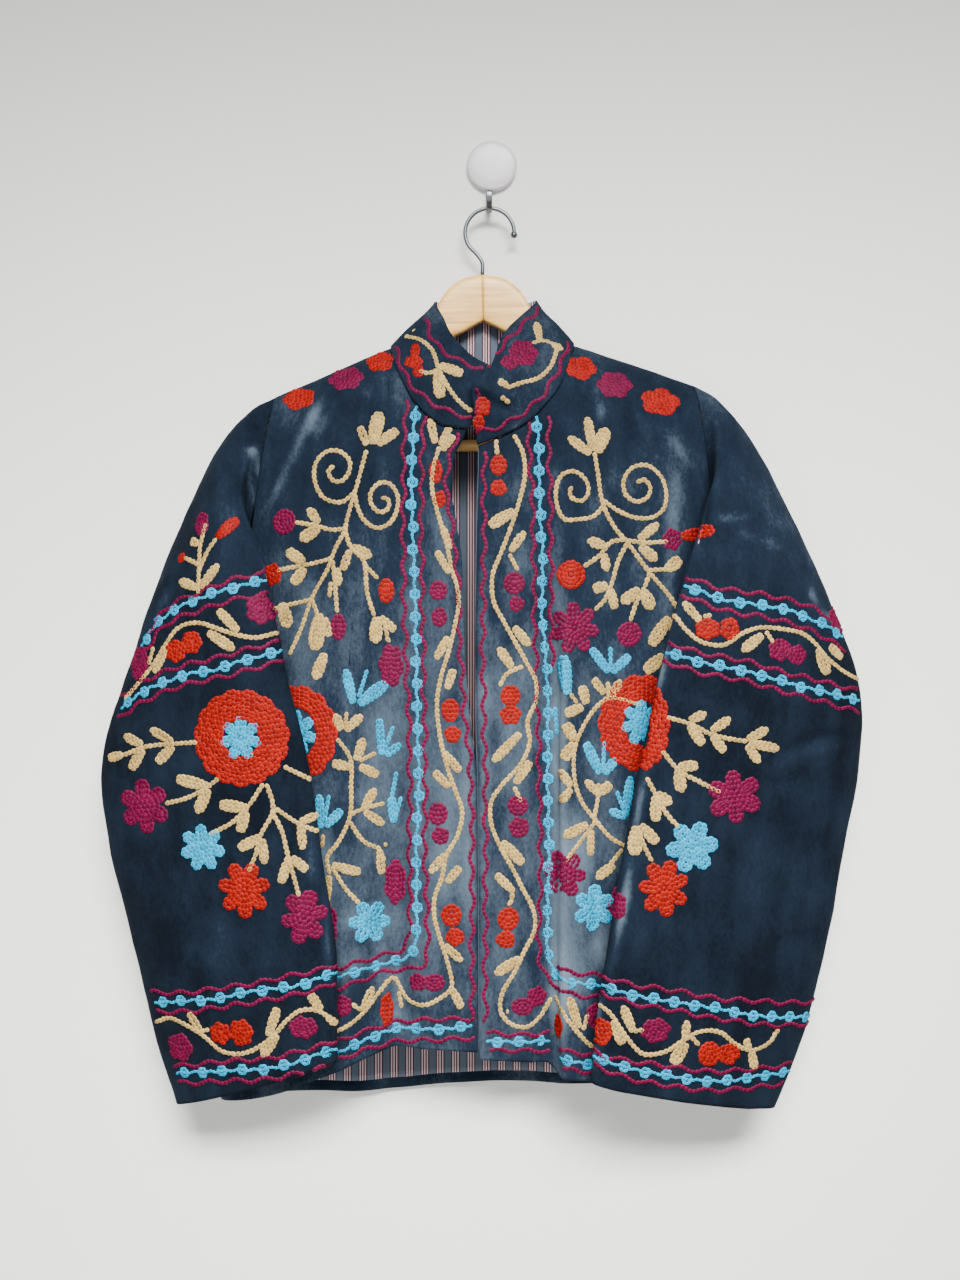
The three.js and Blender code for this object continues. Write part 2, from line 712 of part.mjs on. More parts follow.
const jacket = new THREE.Group();
function add(name, geometry, material, parent = jacket) {
  const mesh = new THREE.Mesh(geometry, material);
  mesh.name = name;
  parent.add(mesh);
}

const normalSign = { right: -1, left: 1, back: -1 };
const columnsOf = (kind) => [0, ...topColumns[kind].map((x) => shareAtTop(kind, x)), 1];

function levelsOf(kind) {
  const rows = kind === "back" ? "back" : "front";
  return crowdedAtTop(rowCount[rows], rowCrowding[rows]);
}
function bodyWall(kind) {
  return sheetWall(bodySheet(kind), normalSign[kind], columnsOf(kind), levelsOf(kind), 0, -velvet);
}

// A lining is built where it can be seen: a strip along each front edge, and the back between the armholes.
function liningWall(kind) {
  const trim = { hem: liningHem, edge: liningEdge[kind] };
  const columns = kind === "back" ? columnsOf(kind).slice(1, -1) : columnsOf(kind).slice(0, 2);
  const outer = -velvet - seamGap;
  return sheetWall(bodySheet(kind, trim), normalSign[kind], columns, levelsOf(kind), outer, outer - lining);
}

add("right_front", bodyWall("right"), finishes.velvet);
add("left_front", bodyWall("left"), finishes.velvet);
add("back", bodyWall("back"), finishes.velvet);
add("right_front_lining", liningWall("right"), finishes.lining);
add("left_front_lining", liningWall("left"), finishes.lining);
add("back_lining", liningWall("back"), finishes.lining);
add("right_sleeve", sleeve("right", rightSleeveLevels), finishes.velvet);
add("left_sleeve", sleeve("left", leftSleeveLevels), finishes.velvet);
add("collar", collar(), finishes.velvet);

// The hanger hangs a little lower on the wearer's right, turned about the crook's resting point.
const hanger = new THREE.Group();
const restHeight = crook.z + crook.radius;
hanger.position.set(hangerMiddleX + crook.x, 0, restHeight);
hanger.rotation.y = degToRad(hangerTilt);
const arms = new THREE.Group();
arms.position.set(-crook.x, 0, -restHeight);
hanger.add(arms);
jacket.add(hanger);
add("hanger_arm_right", hangerArm(-1), finishes.wood, arms);
add("hanger_arm_left", hangerArm(1), finishes.wood, arms);
add("hanger_bar", hangerBar(), finishes.wood, arms);
add("hanger_hook", hangerHook(), finishes.steel, arms);

add("wall_hook_disc", wallHookDisc(), finishes.plastic);
add("wall_hook_prong", wallHookProng(), finishes.steel);

export default jacket;
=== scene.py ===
"""An embroidered velvet jacket on a wooden hanger: its cloth, sewing and fittings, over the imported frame.

Lengths in the tables are millimetres: +X to the right of someone facing the jacket, -Y towards them, +Z up,
from the centre of the wall hook's flat back. "right" and "left" in a name are the wearer's.
"""
import math

import bmesh
import bpy
import numpy as np
from mathutils import Matrix, Vector
from mathutils.bvhtree import BVHTree


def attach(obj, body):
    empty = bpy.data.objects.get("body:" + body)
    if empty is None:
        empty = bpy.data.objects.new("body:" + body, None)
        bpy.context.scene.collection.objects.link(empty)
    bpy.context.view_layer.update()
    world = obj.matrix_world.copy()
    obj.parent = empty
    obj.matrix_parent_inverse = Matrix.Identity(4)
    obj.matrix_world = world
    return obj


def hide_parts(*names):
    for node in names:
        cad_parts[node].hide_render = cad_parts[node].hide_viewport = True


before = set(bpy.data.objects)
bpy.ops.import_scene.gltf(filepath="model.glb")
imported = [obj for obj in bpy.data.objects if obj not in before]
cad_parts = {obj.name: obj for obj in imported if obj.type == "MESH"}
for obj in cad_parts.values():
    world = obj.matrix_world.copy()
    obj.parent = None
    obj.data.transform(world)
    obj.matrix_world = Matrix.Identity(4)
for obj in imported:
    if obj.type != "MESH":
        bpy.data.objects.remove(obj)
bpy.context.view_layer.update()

bl_info = {
    "name": "Embroidered velvet jacket",
    "version": (1, 0, 0),
    "blender": (4, 5, 0),
    "location": "3D View > Sidebar > Jacket",
    "description": "Builds an embroidered velvet jacket on its hanger",
    "category": "Add Mesh",
}

MM = 0.001

# ---------------- the cut and hang of the cloth

MIDDLE_X = -9.0
UNDERARM_Z = -430.0
ARMHOLE_TOP_X = {"right": -186.0, "left": 174.0}
ARMHOLE_SHARE = {"right": 0.855, "left": 0.884}
ARMHOLE_GAP = 0.1
SEAM_ANGLE = 0.003
LINING_GAP = 0.3
LINING_HEM = 9.5

# z, half width, depth of the front, of the back, of the side seam
BODY_LEVELS = [
    (-830, 226, -72, -4, -27),
    (-620, 215, -74, -3.5, -30),
    (-430, 206, -74, -3.5, -32),
    (-200, 207, -72, -4, -32),
    (-120, 207, -70, -4, -32),
]
# x, z, y of the crest over the hanger
SHOULDER_LINE = [
    (-215, -221, -33), (-186, -209, -32), (-162, -198.6, -30), (-124, -181.4, -26), (-86, -165, -22),
    (-40, -150, -19), (30, -150, -19), (70, -163, -22), (98, -172.8, -25), (145, -189, -29),
    (174, -200, -32), (200, -209, -33),
]
ROUNDING = {"right": 110.0, "left": 110.0, "back": 30.0}
SQUARENESS = 0.35
NECK_POINT = {"right": -86.0, "left": 70.0}

# x, z along each neck edge
NECKLINES = {
    "right": [(-86, -165), (-83, -181), (-75, -201), (-64, -221), (-43, -239), (-20, -243), (0, -244)],
    "left": [
        (-40, -262), (-13, -257), (10, -248), (31, -236), (46, -220), (57, -204), (65, -182), (70, -163),
    ],
    "back": [(-86, -165), (-70, -173), (-40, -178), (24, -178), (54, -172), (70, -163)],
}
# z, x of the right front's edge, x of the left front's edge
FRONT_EDGES = [
    (-790, -11.9, -10.6), (-534, -13.2, -11.9), (-490, -17.7, -13.2), (-425, -23, -14.2),
    (-365, -24.6, -13.4), (-312, -31, -12.4), (-297, -34, -12), (-267, -31.5, -11.2), (-243, -22, -11),
    (-150, -18, -11),
]
# x, z along each hem
HEMS = {
    "right": [(-236, -813), (-180, -798), (-128, -775), (-92, -761), (-78, -757), (-11, -760)],
    "left": [(-12, -766), (46, -770), (56, -780), (81, -784), (150, -801), (218, -813)],
    "back": [
        (-236, -813.5), (-139, -813), (-83, -811.7), (-19, -805.5), (50, -806), (140, -810), (218, -813.5),
    ],
}

# top z, top x, foot z, foot x, width, depth: each starts at its top and runs on past its foot
FOLDS = {
    "right": [
        (-470, -78, -800, -82, 17, -9), (-520, -118, -830, -132, 17, 7),
        (-180, -118, -420, -186, 12, 4), (-235, -100, -360, -150, 15, -4),
    ],
    "left": [
        (-300, 42, -830, 46, 9, -7), (-300, 62, -830, 64, 12, 6), (-180, 95, -400, 160, 13, 4),
        (-230, 70, -400, 118, 15, -4), (-560, 120, -830, 126, 18, -6),
    ],
    "back": [
        (-420, -110, -860, -120, 24, -6), (-380, 60, -860, 66, 22, -6),
        (-520, 140, -860, 150, 20, -5), (-560, -30, -860, -24, 22, -5),
    ],
}

# crown, front, underarm and back point of each sleeve, level by level
SLEEVE_LEVELS = {
    "right": [
        [(-204, -34, -219), (-207, -63, -300), (-219, -34, -433), (-213, -10, -300)],
        [(-226, -44, -246), (-205, -76, -318), (-222, -38, -439), (-238, -16, -320)],
        [(-242, -64, -296), (-192, -86, -346), (-225, -44, -448), (-261, -27, -352)],
        [(-250, -85, -366), (-178, -94, -394), (-228, -52, -462), (-286, -42, -400)],
        [(-245, -94, -446), (-165, -98, -452), (-232, -62, -490), (-311, -52, -458)],
        [(-245, -93, -522), (-149, -98, -520), (-237, -64, -538), (-330, -52, -526)],
        [(-238, -93, -594), (-138, -98, -590), (-229, -64, -600), (-322, -52, -594)],
        [(-220, -92, -668), (-128, -96, -662), (-214, -64, -670), (-302, -53, -674)],
        [(-204, -91, -740), (-127, -94, -722), (-202, -65, -744), (-282, -54, -758)],
        [(-194, -90, -784), (-126, -93, -759), (-196, -66, -787), (-266, -56, -808)],
    ],
    "left": [
        [(190, -34, -210), (186, -63, -290), (200, -34, -433), (196, -10, -296)],
        [(212, -44, -237), (179, -76, -306), (204, -38, -439), (226, -16, -316)],
        [(228, -64, -292), (165, -86, -338), (207, -44, -448), (255, -27, -350)],
        [(234, -85, -362), (151, -94, -386), (210, -52, -462), (285, -42, -398)],
        [(226, -95, -444), (135, -98, -446), (214, -61, -490), (309, -52, -454)],
        [(218, -94, -520), (119, -98, -520), (213, -63, -538), (309, -52, -522)],
        [(206, -93, -592), (106, -98, -590), (204, -64, -598), (297, -52, -592)],
        [(192, -92, -664), (94, -96, -664), (190, -64, -668), (283, -53, -666)],
        [(174, -91, -740), (83, -94, -734), (174, -67, -742), (262, -54, -750)],
        [(160, -90, -796), (81, -93, -778), (160, -68, -796), (238, -56, -811)],
    ],
}

# sheet it stands on, x on that sheet's neck edge, point of the upper edge
COLLAR_ROWS = [
    ("right", -18.5, (-1, -70, -190)), ("right", -43, (-15, -66, -182)), ("right", -64, (-26, -60, -171)),
    ("right", -75, (-35, -50, -158)), ("right", -82.5, (-42, -37, -141)), ("right", -85.8, (-48, -23, -128)),
    ("back", -72, (-49, -9, -121)), ("back", -40, (-36, -5, -124)), ("back", -9, (-9, -4.5, -124)),
    ("back", 24, (24, -5, -124)), ("back", 56, (39, -9, -120)), ("left", 69.8, (36, -23, -127)),
    ("left", 65.5, (24, -38, -141)), ("left", 57, (13, -54, -155)), ("left", 46, (7, -66, -167)),
    ("left", 31, (2, -76, -184)), ("left", 10, (-4, -82, -197)), ("left", -12.5, (-17.5, -85, -205)),
]
COLLAR_GAP = 0.1
COLLAR_BULGE = 3.0
COLLAR_CENTRE_Y = -25.0

# Creases, listed one by one: x, z of one end, x, z of the other, how far it bows, width, depth (ridges
# positive).
CREASES = {
    "collar": [
        (-15, -207, 18, -219, 2, 5, 3.8), (-12, -216, 16, -230, 2, 4, -1.6),
        (30, -196, 48, -168, 3, 6, 1.4),
    ],
    "right_front": [
        (-143, -210, -190, -312, 4, 6, 2.2), (-100, -205, -108, -245, 2, 8, 1.6),
        (-100, -425, -92, -560, 5, 10, -2.2), (-90, -640, -96, -700, 3, 7, -2.4),
        (-60, -560, -66, -700, 3, 9, 1.2), (-40, -640, -50, -745, -3, 8, -1.0),
        (-128, -690, -142, -770, 4, 9, -2.6), (-150, -330, -172, -450, -6, 12, -1.8),
        (-52, -300, -56, -420, 3, 7, 1.0), (-30, -330, -34, -420, 2, 5, -0.9),
        (-110, -480, -120, -640, -5, 9, 1.5), (-88, -690, -84, -750, 2, 5, 2.0),
    ],
    "left_front": [
        (53, -420, 53.5, -800, 1.5, 3.4, -4.6), (60, -400, 60, -800, 1, 5, 2.6),
        (85, -204, 93, -238, 2, 6, 1.8), (112, -214, 140, -257, 3, 7, -2.0),
        (148, -247, 166, -275, 2, 6, 1.8), (96, -420, 104, -560, 5, 10, -2.0),
        (72, -620, 78, -770, -3, 8, 2.0), (92, -600, 88, -700, 3, 7, -2.6),
        (20, -560, 24, -740, 3, 10, -0.9), (60, -260, 64, -400, -4, 8, 1.4),
        (120, -240, 128, -330, 5, 10, -1.5), (8, -330, 6, -480, 3, 8, 0.8),
    ],
    "back": [
        (-120, -205, -168, -330, 5, 9, 2.0), (104, -205, 150, -330, 5, 9, 2.0),
        (-60, -230, -72, -420, 6, 16, -2.2), (48, -225, 60, -400, -6, 15, -2.0),
        (-140, -420, -150, -700, 8, 14, 2.4), (110, -460, 118, -760, -7, 12, 2.6),
        (-80, -560, -88, -800, 6, 10, 2.0), (10, -620, 16, -800, 5, 10, -2.2),
        (-180, -520, -176, -780, 4, 12, -2.6), (170, -480, 176, -740, -5, 10, -2.2),
        (-20, -200, -14, -300, 3, 20, 1.2),
    ],
    "right_sleeve": [
        (-204, -256, -194, -300, 3, 4.5, 2.2), (-197, -290, -183, -378, 3, 4.2, 2.4),
        (-214, -262, -207, -330, 3, 5, -2.6), (-190, -270, -176, -372, -2, 4, -2.4),
        (-226, -270, -214, -350, 5, 9, 1.6), (-243, -300, -262, -352, 6, 9, -1.8),
        (-262, -360, -290, -420, 7, 8, 1.5), (-300, -480, -262, -520, -6, 8, -1.6),
        (-318, -520, -270, -545, 5, 7, -1.8), (-300, -600, -250, -625, 5, 9, -1.4),
        (-292, -662, -240, -668, -4, 8, -1.6), (-283, -700, -230, -690, 4, 8, 1.2),
        (-160, -480, -168, -600, 5, 9, -1.3), (-150, -600, -152, -700, 4, 7, 1.4),
        (-240, -560, -230, -680, 8, 14, -1.2), (-180, -640, -186, -760, -5, 10, -1.0),
    ],
    "left_sleeve": [
        (167, -262, 152, -330, 4, 4.4, 2.6), (152, -330, 146, -420, -3, 4, 2.0),
        (178, -262, 170, -365, 4, 7, -3.6), (186, -300, 178, -390, 4, 8, 1.8),
        (190, -316, 236, -330, -5, 6, -1.8), (188, -336, 232, -352, -4, 6, 1.6),
        (236, -300, 262, -372, 6, 8, -1.6), (262, -372, 286, -412, 5, 6, 1.8),
        (292, -498, 226, -520, 6, 4.5, -3.2), (290, -507, 240, -524, 5, 6, 1.8),
        (214, -531, 250, -536, 3, 4.5, -2.4), (150, -462, 204, -478, -5, 6, -1.8),
        (276, -560, 240, -640, 7, 10, -1.4), (110, -560, 104, -660, 4, 7, 1.4),
        (270, -664, 210, -690, 6, 9, -1.5), (180, -600, 168, -720, 6, 12, -1.3),
        (226, -744, 246, -738, 2, 4, -2.0), (130, -640, 122, -760, 5, 9, 1.0),
    ],
}

# Painted sheen: pale streaks painted along the ridges of the folds, where the light catches the pile: x, z of
# one end, x, z of the other, width, strength.
PAINTED_SHEEN_STREAKS = {
    "right_front": [
        (-142, -212, -190, -312, 2.2, 0.45), (-104, -205, -110, -245, 3, 0.2),
        (-128, -212, -150, -250, 3, 0.2), (-46, -250, -36, -400, 9, 0.35), (-40, -420, -40, -740, 16, 0.3),
        (-88, -420, -92, -700, 14, 0.28), (-112, -300, -116, -560, 12, 0.12),
        (-120, -640, -110, -700, 14, 0.3), (-84, -690, -80, -750, 5, 0.4), (-22, -300, -16, -740, 3, 0.3),
        (-160, -350, -150, -430, 9, 0.15), (-140, -560, -134, -700, 5, 0.35),
    ],
    "left_front": [
        (55, -420, 55, -780, 3.4, 0.8), (54, -260, 54, -420, 5, 0.3), (86, -204, 92, -238, 2.4, 0.3),
        (112, -212, 138, -256, 4, 0.2), (150, -247, 166, -275, 3, 0.3), (12, -420, 16, -740, 16, 0.25),
        (26, -260, 24, -380, 10, 0.22), (70, -560, 66, -740, 9, 0.55), (84, -420, 86, -560, 10, 0.2),
        (96, -640, 92, -700, 6, 0.35), (-9, -300, -9, -740, 3, 0.3), (158, -250, 146, -400, 5, 0.4),
    ],
    "back": [
        (-120, -205, -168, -330, 4, 0.5), (104, -205, 150, -330, 4, 0.5), (-140, -430, -150, -700, 10, 0.3),
        (110, -460, 118, -760, 9, 0.3), (-20, -260, -16, -760, 26, 0.2), (-80, -560, -88, -800, 8, 0.3),
    ],
    "right_sleeve": [
        (-203, -254, -194, -280, 2.4, 0.9), (-194, -278, -188, -340, 2.2, 1.0),
        (-188, -338, -178, -382, 1.8, 0.9), (-208, -256, -199, -312, 2.0, 0.5),
        (-228, -262, -222, -320, 5, 0.2), (-262, -372, -290, -416, 3, 0.4),
        (-300, -560, -250, -640, 22, 0.12), (-216, -640, -236, -690, 16, 0.15),
        (-150, -560, -146, -620, 4, 0.45), (-134, -610, -130, -700, 2.4, 0.6),
        (-204, -430, -180, -460, 9, 0.12),
    ],
    "left_sleeve": [
        (168, -246, 152, -325, 2.0, 1.0), (152, -325, 144, -380, 2.4, 0.8),
        (144, -375, 130, -470, 3.2, 1.0), (126, -510, 112, -590, 2.0, 0.7), (112, -590, 94, -690, 2.2, 0.8),
        (180, -317, 214, -316, 2, 0.4), (198, -330, 240, -342, 2.2, 0.3), (262, -375, 286, -405, 2.6, 0.5),
        (230, -520, 290, -505, 7, 0.2), (190, -640, 230, -610, 18, 0.2), (170, -470, 230, -485, 12, 0.14),
        (120, -640, 118, -700, 5, 0.2), (84, -700, 80, -770, 2.4, 0.6),
    ],
}
# How pale the pile is painted near the top of a panel, and further down: partly the velvet's own tone and
# partly painted light and shade.
NAP_AND_LIGHT_LEVEL = {
    "right_front": (0.25, 0.38),
    "left_front": (0.26, 0.37),
    "back": (0.25, 0.34),
    "right_sleeve": (0.2, 0.1),
    "left_sleeve": (0.34, 0.12),
    "collar": (0.3, 0.3),
}

# ---------------- the sewing

# Each design lists its rows and motifs where they lie on the panel, seen from the front: x, z.
# bead rows: points
# waves: points
# stems: points
# leaves: x, z of the root, x, z of the tip, width; petals are leaves in blue thread
# flowers: x, z, size across, size up, petals, thread
# blooms: x, z, size across, size up, petals, thread, then the same five for the middle

DESIGNS = {
    "right_front": {
        "beads": [
            [(-63, -218), (-66, -255), (-67, -293), (-66, -331), (-64, -388), (-63, -440), (-62, -500),
             (-61, -533), (-63, -584), (-63, -642), (-64, -670), (-72, -683), (-90, -688), (-112, -692),
             (-140, -700), (-180, -712), (-224, -722)],
            [(-17, -737), (-35, -740), (-78, -742), (-105, -750), (-130, -759), (-170, -772), (-224, -787)],
        ],
        "waves": [
            [(-72, -218), (-74, -300), (-73, -400), (-69, -500), (-69, -600), (-70, -666), (-76, -676),
             (-92, -681), (-125, -688), (-170, -702), (-224, -713)],
            [(-57, -226), (-59, -300), (-58, -400), (-56, -500), (-56, -600), (-57, -686), (-70, -692),
             (-95, -696), (-130, -706), (-175, -720), (-224, -731)],
            [(-29, -246), (-36, -270), (-38, -297), (-35, -315), (-29, -365), (-27, -425), (-22, -490),
             (-18, -534), (-17, -730)],
            [(-15, -731), (-50, -733), (-80, -737), (-120, -747), (-170, -764), (-224, -778)],
            [(-15, -747), (-50, -750), (-80, -753), (-125, -764), (-170, -782), (-224, -796)],
        ],
        "stems": [
            [(-44, -258), (-49, -275), (-50, -292), (-46, -310), (-38, -338), (-34, -358), (-29, -375),
             (-28, -390), (-31, -406), (-37, -430), (-43, -450), (-46, -472), (-43, -500), (-37, -525),
             (-31, -542), (-25, -560), (-29, -580), (-38, -596), (-42, -615), (-48, -632), (-48, -648),
             (-42, -670), (-36, -690), (-34, -706), (-45, -716), (-58, -721), (-71, -717), (-83, -700),
             (-94, -711), (-106, -726), (-120, -737), (-138, -742), (-158, -731), (-176, -737),
             (-196, -754), (-216, -757)],
            [(-105, -260), (-113, -290), (-119, -310), (-122, -326), (-118, -340), (-107, -352),
             (-104, -378), (-98, -398)],
            [(-116, -296), (-126, -303), (-141, -299), (-148, -283), (-146, -269), (-137, -261),
             (-127, -261), (-119, -269), (-120, -279), (-127, -286), (-134, -284), (-136, -277),
             (-132, -273)],
            [(-115, -293), (-112, -308), (-106, -319), (-96, -325), (-85, -321), (-79, -309), (-79, -297),
             (-86, -288), (-94, -288), (-101, -296), (-100, -306), (-93, -312), (-86, -308), (-87, -301),
             (-92, -300)],
            [(-122, -325), (-134, -326), (-146, -323), (-164, -320)],
            [(-106, -356), (-95, -367)],
            [(-123, -328), (-130, -340), (-134, -350), (-138, -360), (-151, -383), (-160, -408),
             (-170, -430)],
            [(-134, -350), (-155, -355), (-180, -360)],
            [(-133, -352), (-131, -370), (-129, -395)],
            [(-151, -384), (-172, -389), (-190, -394)],
            [(-151, -384), (-146, -396)],
            [(-90, -402), (-86, -420)],
            [(-129, -500), (-118, -516), (-117, -540), (-118, -564), (-128, -586), (-137, -598),
             (-135, -612)],
            [(-110, -518), (-97, -512)],
            [(-117, -562), (-108, -558), (-90, -554)],
            [(-118, -568), (-106, -585), (-93, -592)],
            [(-133, -606), (-122, -622), (-110, -636)],
            [(-122, -489), (-121, -478)],
            [(-94, -592), (-90, -602)],
            [(-163, -520), (-176, -548), (-186, -580)],
            [(-108, -725), (-116, -719)],
        ],
        "leaves": [
            (-47, -256, -52, -234, 8), (-44, -258, -34, -238, 7), (-43, -262, -31, -247, 7),
            (-34, -344, -42, -323, 7), (-35, -364, -47, -343, 7), (-36, -414, -47, -434, 8),
            (-38, -460, -32, -441, 8), (-41, -510, -26, -528, 8), (-35, -541, -49, -526, 8),
            (-38, -594, -52, -611, 8), (-39, -620, -26, -605, 8), (-41, -670, -25, -684, 8),
            (-34, -706, -25, -724, 8), (-79, -708, -75, -729, 6), (-108, -725, -99, -706, 8),
            (-100, -256, -94, -227, 13), (-104, -257, -111, -239, 8), (-97, -256, -78, -243, 10),
            (-144, -322, -153, -308, 9), (-144, -324, -160, -335, 11), (-118, -340, -100, -349, 10),
            (-118, -342, -125, -361, 8), (-156, -354, -172, -343, 11), (-156, -357, -167, -372, 10),
            (-130, -357, -128, -373, 9), (-134, -366, -136, -386, 6), (-176, -386, -171, -408, 12),
            (-144, -395, -148, -427, 15), (-140, -398, -135, -416, 8), (-96, -398, -97, -421, 12),
            (-94, -398, -80, -411, 8), (-139, -428, -148, -451, 11), (-125, -494, -131, -479, 9),
            (-123, -494, -108, -480, 9), (-116, -524, -134, -520, 9), (-113, -519, -107, -499, 9),
            (-111, -522, -94, -531, 9), (-107, -558, -97, -541, 9), (-107, -559, -90, -572, 8),
            (-94, -591, -92, -614, 8), (-94, -590, -84, -587, 6), (-134, -604, -108, -610, 9),
            (-135, -612, -139, -638, 9), (-140, -576, -142, -594, 6), (-178, -586, -196, -600, 9),
            (-180, -560, -160, -572, 8), (-158, -731, -165, -712, 8), (-196, -754, -206, -738, 8),
        ],
        "petals": [
            (-115, -472, -122, -442, 9), (-112, -472, -87, -453, 12), (-112, -469, -103, -439, 5),
            (-92, -515, -94, -482, 8), (-91, -513, -81, -486, 4), (-90, -515, -76, -504, 8),
            (-82, -572, -84, -548, 9), (-86, -560, -79, -524, 5), (-82, -570, -75, -545, 5),
            (-143, -576, -144, -546, 9), (-140, -574, -124, -558, 9), (-140, -572, -135, -543, 3),
        ],
        "flowers": [
            (-47, -278, 12, 22, 4, "orange"), (-44, -301, 13, 15, 3, "orange"),
            (-45, -377, 16, 17, 8, "magenta"), (-44, -399, 14, 18, 5, "magenta"),
            (-35, -476, 16, 20, 8, "orange"), (-33, -496, 15, 15, 5, "orange"),
            (-45, -562, 17, 20, 8, "magenta"), (-43, -580, 16, 16, 5, "magenta"),
            (-34, -646, 18, 20, 8, "orange"), (-31, -664, 17, 16, 5, "orange"),
            (-62, -702, 16, 16, 5, "magenta"), (-48, -702, 18, 16, 8, "magenta"),
            (-123, -720, 14, 20, 5, "magenta"), (-88, -726, 12, 30, 6, "orange"),
            (-174, -319, 22, 22, 12, "magenta"), (-184, -363, 18, 20, 6, "orange"),
            (-88, -377, 14, 22, 8, "orange"), (-128, -407, 14, 23, 8, "magenta"),
            (-84, -439, 22, 38, 6, "magenta"), (-81, -620, 20, 40, 6, "magenta"),
            (-102, -652, 33, 36, 6, "cyan"), (-138, -654, 22, 42, 6, "magenta"),
            (-196, -400, 34, 34, 7, "magenta"), (-204, -604, 36, 36, 7, "orange"),
            (-190, -734, 20, 16, 6, "magenta"), (-95, -181, 26, 22, 5, "orange"),
            (-124, -196, 32, 24, 6, "magenta"), (-164, -213, 30, 22, 5, "orange"),
        ],
        "blooms": [(-164, -496, 72, 82, 14, "orange", 35, 38, 7, "cyan")],
    },
    "left_front": {
        "beads": [
            [(36, -232), (38, -250), (39, -292), (40, -320), (42, -355), (41, -390), (44, -430), (46, -470),
             (46, -540), (47, -600), (46, -675), (49, -690), (58, -698), (74, -702), (96, -706),
             (150, -716), (208, -728)],
            [(-5, -751), (14, -751), (48, -752)],
            [(56, -764), (75, -768), (97, -772), (150, -784), (208, -796)],
        ],
        "waves": [
            [(29, -236), (33, -300), (35, -400), (38, -500), (40, -600), (40, -688), (46, -700), (60, -708),
             (96, -716), (150, -726), (208, -738)],
            [(46, -232), (48, -300), (49, -400), (50, -440)],
            [(54, -690), (70, -693), (96, -697), (150, -706), (208, -718)],
            [(-7, -262), (-7, -340), (-8, -430), (-6, -530), (-6, -735)],
            [(-5, -744), (20, -745), (48, -745)],
            [(-2, -759), (20, -758), (48, -760)],
            [(56, -757), (80, -761), (120, -770), (208, -788)],
            [(58, -772), (80, -776), (120, -786), (208, -804)],
        ],
        "stems": [
            [(18, -248), (25, -262), (27, -280), (22, -304), (14, -328), (7, -346), (0, -365), (1, -386),
             (9, -402), (19, -420), (29, -438), (36, -452), (36, -468), (29, -486), (31, -502), (24, -520),
             (8, -538), (-1, -552), (-1, -570), (6, -588), (17, -608), (25, -624), (34, -642), (35, -658),
             (27, -675), (18, -694), (8, -711), (7, -726), (15, -736), (28, -739), (40, -731), (49, -716)],
            [(3, -252), (4, -264)],
            [(14, -347), (21, -360)],
            [(25, -440), (12, -446), (6, -456)],
            [(18, -540), (24, -552)],
            [(17, -628), (14, -638)],
            [(85, -262), (88, -280), (91, -300), (96, -314), (104, -327), (112, -336), (122, -350),
             (131, -362), (148, -382), (162, -404)],
            [(92, -307), (84, -315), (70, -318), (60, -318), (54, -308), (53, -291), (58, -281), (68, -278),
             (77, -284), (80, -294), (75, -302), (67, -301), (64, -295), (66, -291)],
            [(93, -302), (104, -310), (118, -316), (133, -316), (143, -308), (145, -294), (140, -281),
             (129, -273), (116, -275), (109, -286), (111, -297), (120, -303), (129, -299), (131, -291),
             (126, -285), (120, -287)],
            [(112, -335), (128, -337), (146, -336)],
            [(110, -334), (98, -337), (90, -347), (76, -357)],
            [(112, -338), (105, -352), (99, -372), (93, -385), (85, -393)],
            [(130, -360), (146, -359)],
            [(131, -362), (126, -376), (121, -385), (115, -402)],
            [(124, -472), (98, -466), (88, -472), (76, -488), (68, -508), (68, -534), (74, -552),
             (86, -568), (98, -582), (112, -590)],
            [(96, -468), (97, -456)],
            [(70, -470), (64, -462)],
            [(84, -566), (87, -552), (88, -540)],
            [(86, -568), (78, -578), (60, -600)],
            [(108, -592), (98, -604)],
            [(52, -714), (60, -728), (72, -744), (86, -756), (110, -750), (130, -742), (150, -752),
             (176, -766)],
        ],
        "leaves": [
            (19, -310, -3, -324, 11), (14, -346, 27, -328, 8), (17, -406, 31, -423, 9),
            (17, -442, 5, -424, 9), (24, -494, 0, -519, 9), (18, -538, 32, -518, 9),
            (7, -584, 26, -604, 10), (19, -628, 2, -611, 8), (24, -681, 2, -695, 10),
            (8, -724, 17, -728, 6), (72, -740, 63, -712, 9), (74, -744, 80, -724, 5),
            (84, -262, 79, -232, 9), (83, -264, 63, -249, 9), (87, -263, 95, -241, 13),
            (121, -335, 138, -321, 9), (122, -339, 137, -352, 10), (95, -340, 79, -335, 10),
            (93, -345, 95, -361, 9), (97, -372, 83, -376, 10), (98, -374, 102, -393, 9),
            (144, -360, 158, -350, 12), (124, -375, 107, -387, 11), (126, -376, 133, -393, 12),
            (148, -398, 132, -423, 12), (149, -400, 154, -418, 9), (144, -430, 127, -445, 12),
            (78, -472, 74, -455, 10), (76, -473, 59, -479, 10), (94, -464, 83, -449, 8),
            (98, -465, 107, -451, 8), (96, -464, 96, -449, 6), (68, -502, 60, -486, 11),
            (68, -502, 58, -517, 11), (66, -540, 55, -525, 8), (66, -540, 55, -552, 8),
            (88, -546, 77, -534, 8), (88, -546, 99, -537, 10), (88, -545, 88, -533, 6),
            (80, -570, 58, -580, 10), (82, -574, 81, -598, 7), (102, -604, 86, -616, 10),
            (130, -742, 136, -724, 8), (160, -758, 156, -740, 8),
        ],
        "petals": [
            (62, -464, 58, -430, 13), (98, -446, 81, -424, 9), (98, -446, 115, -430, 9),
            (98, -444, 98, -420, 4), (90, -530, 77, -502, 10), (92, -530, 103, -516, 9),
            (92, -528, 93, -498, 4), (110, -566, 115, -531, 9), (112, -566, 97, -559, 8),
            (110, -562, 102, -540, 3), (54, -500, 52, -470, 4),
        ],
        "flowers": [
            (5, -273, 15, 18, 10, "orange"), (5, -292, 15, 15, 5, "orange"),
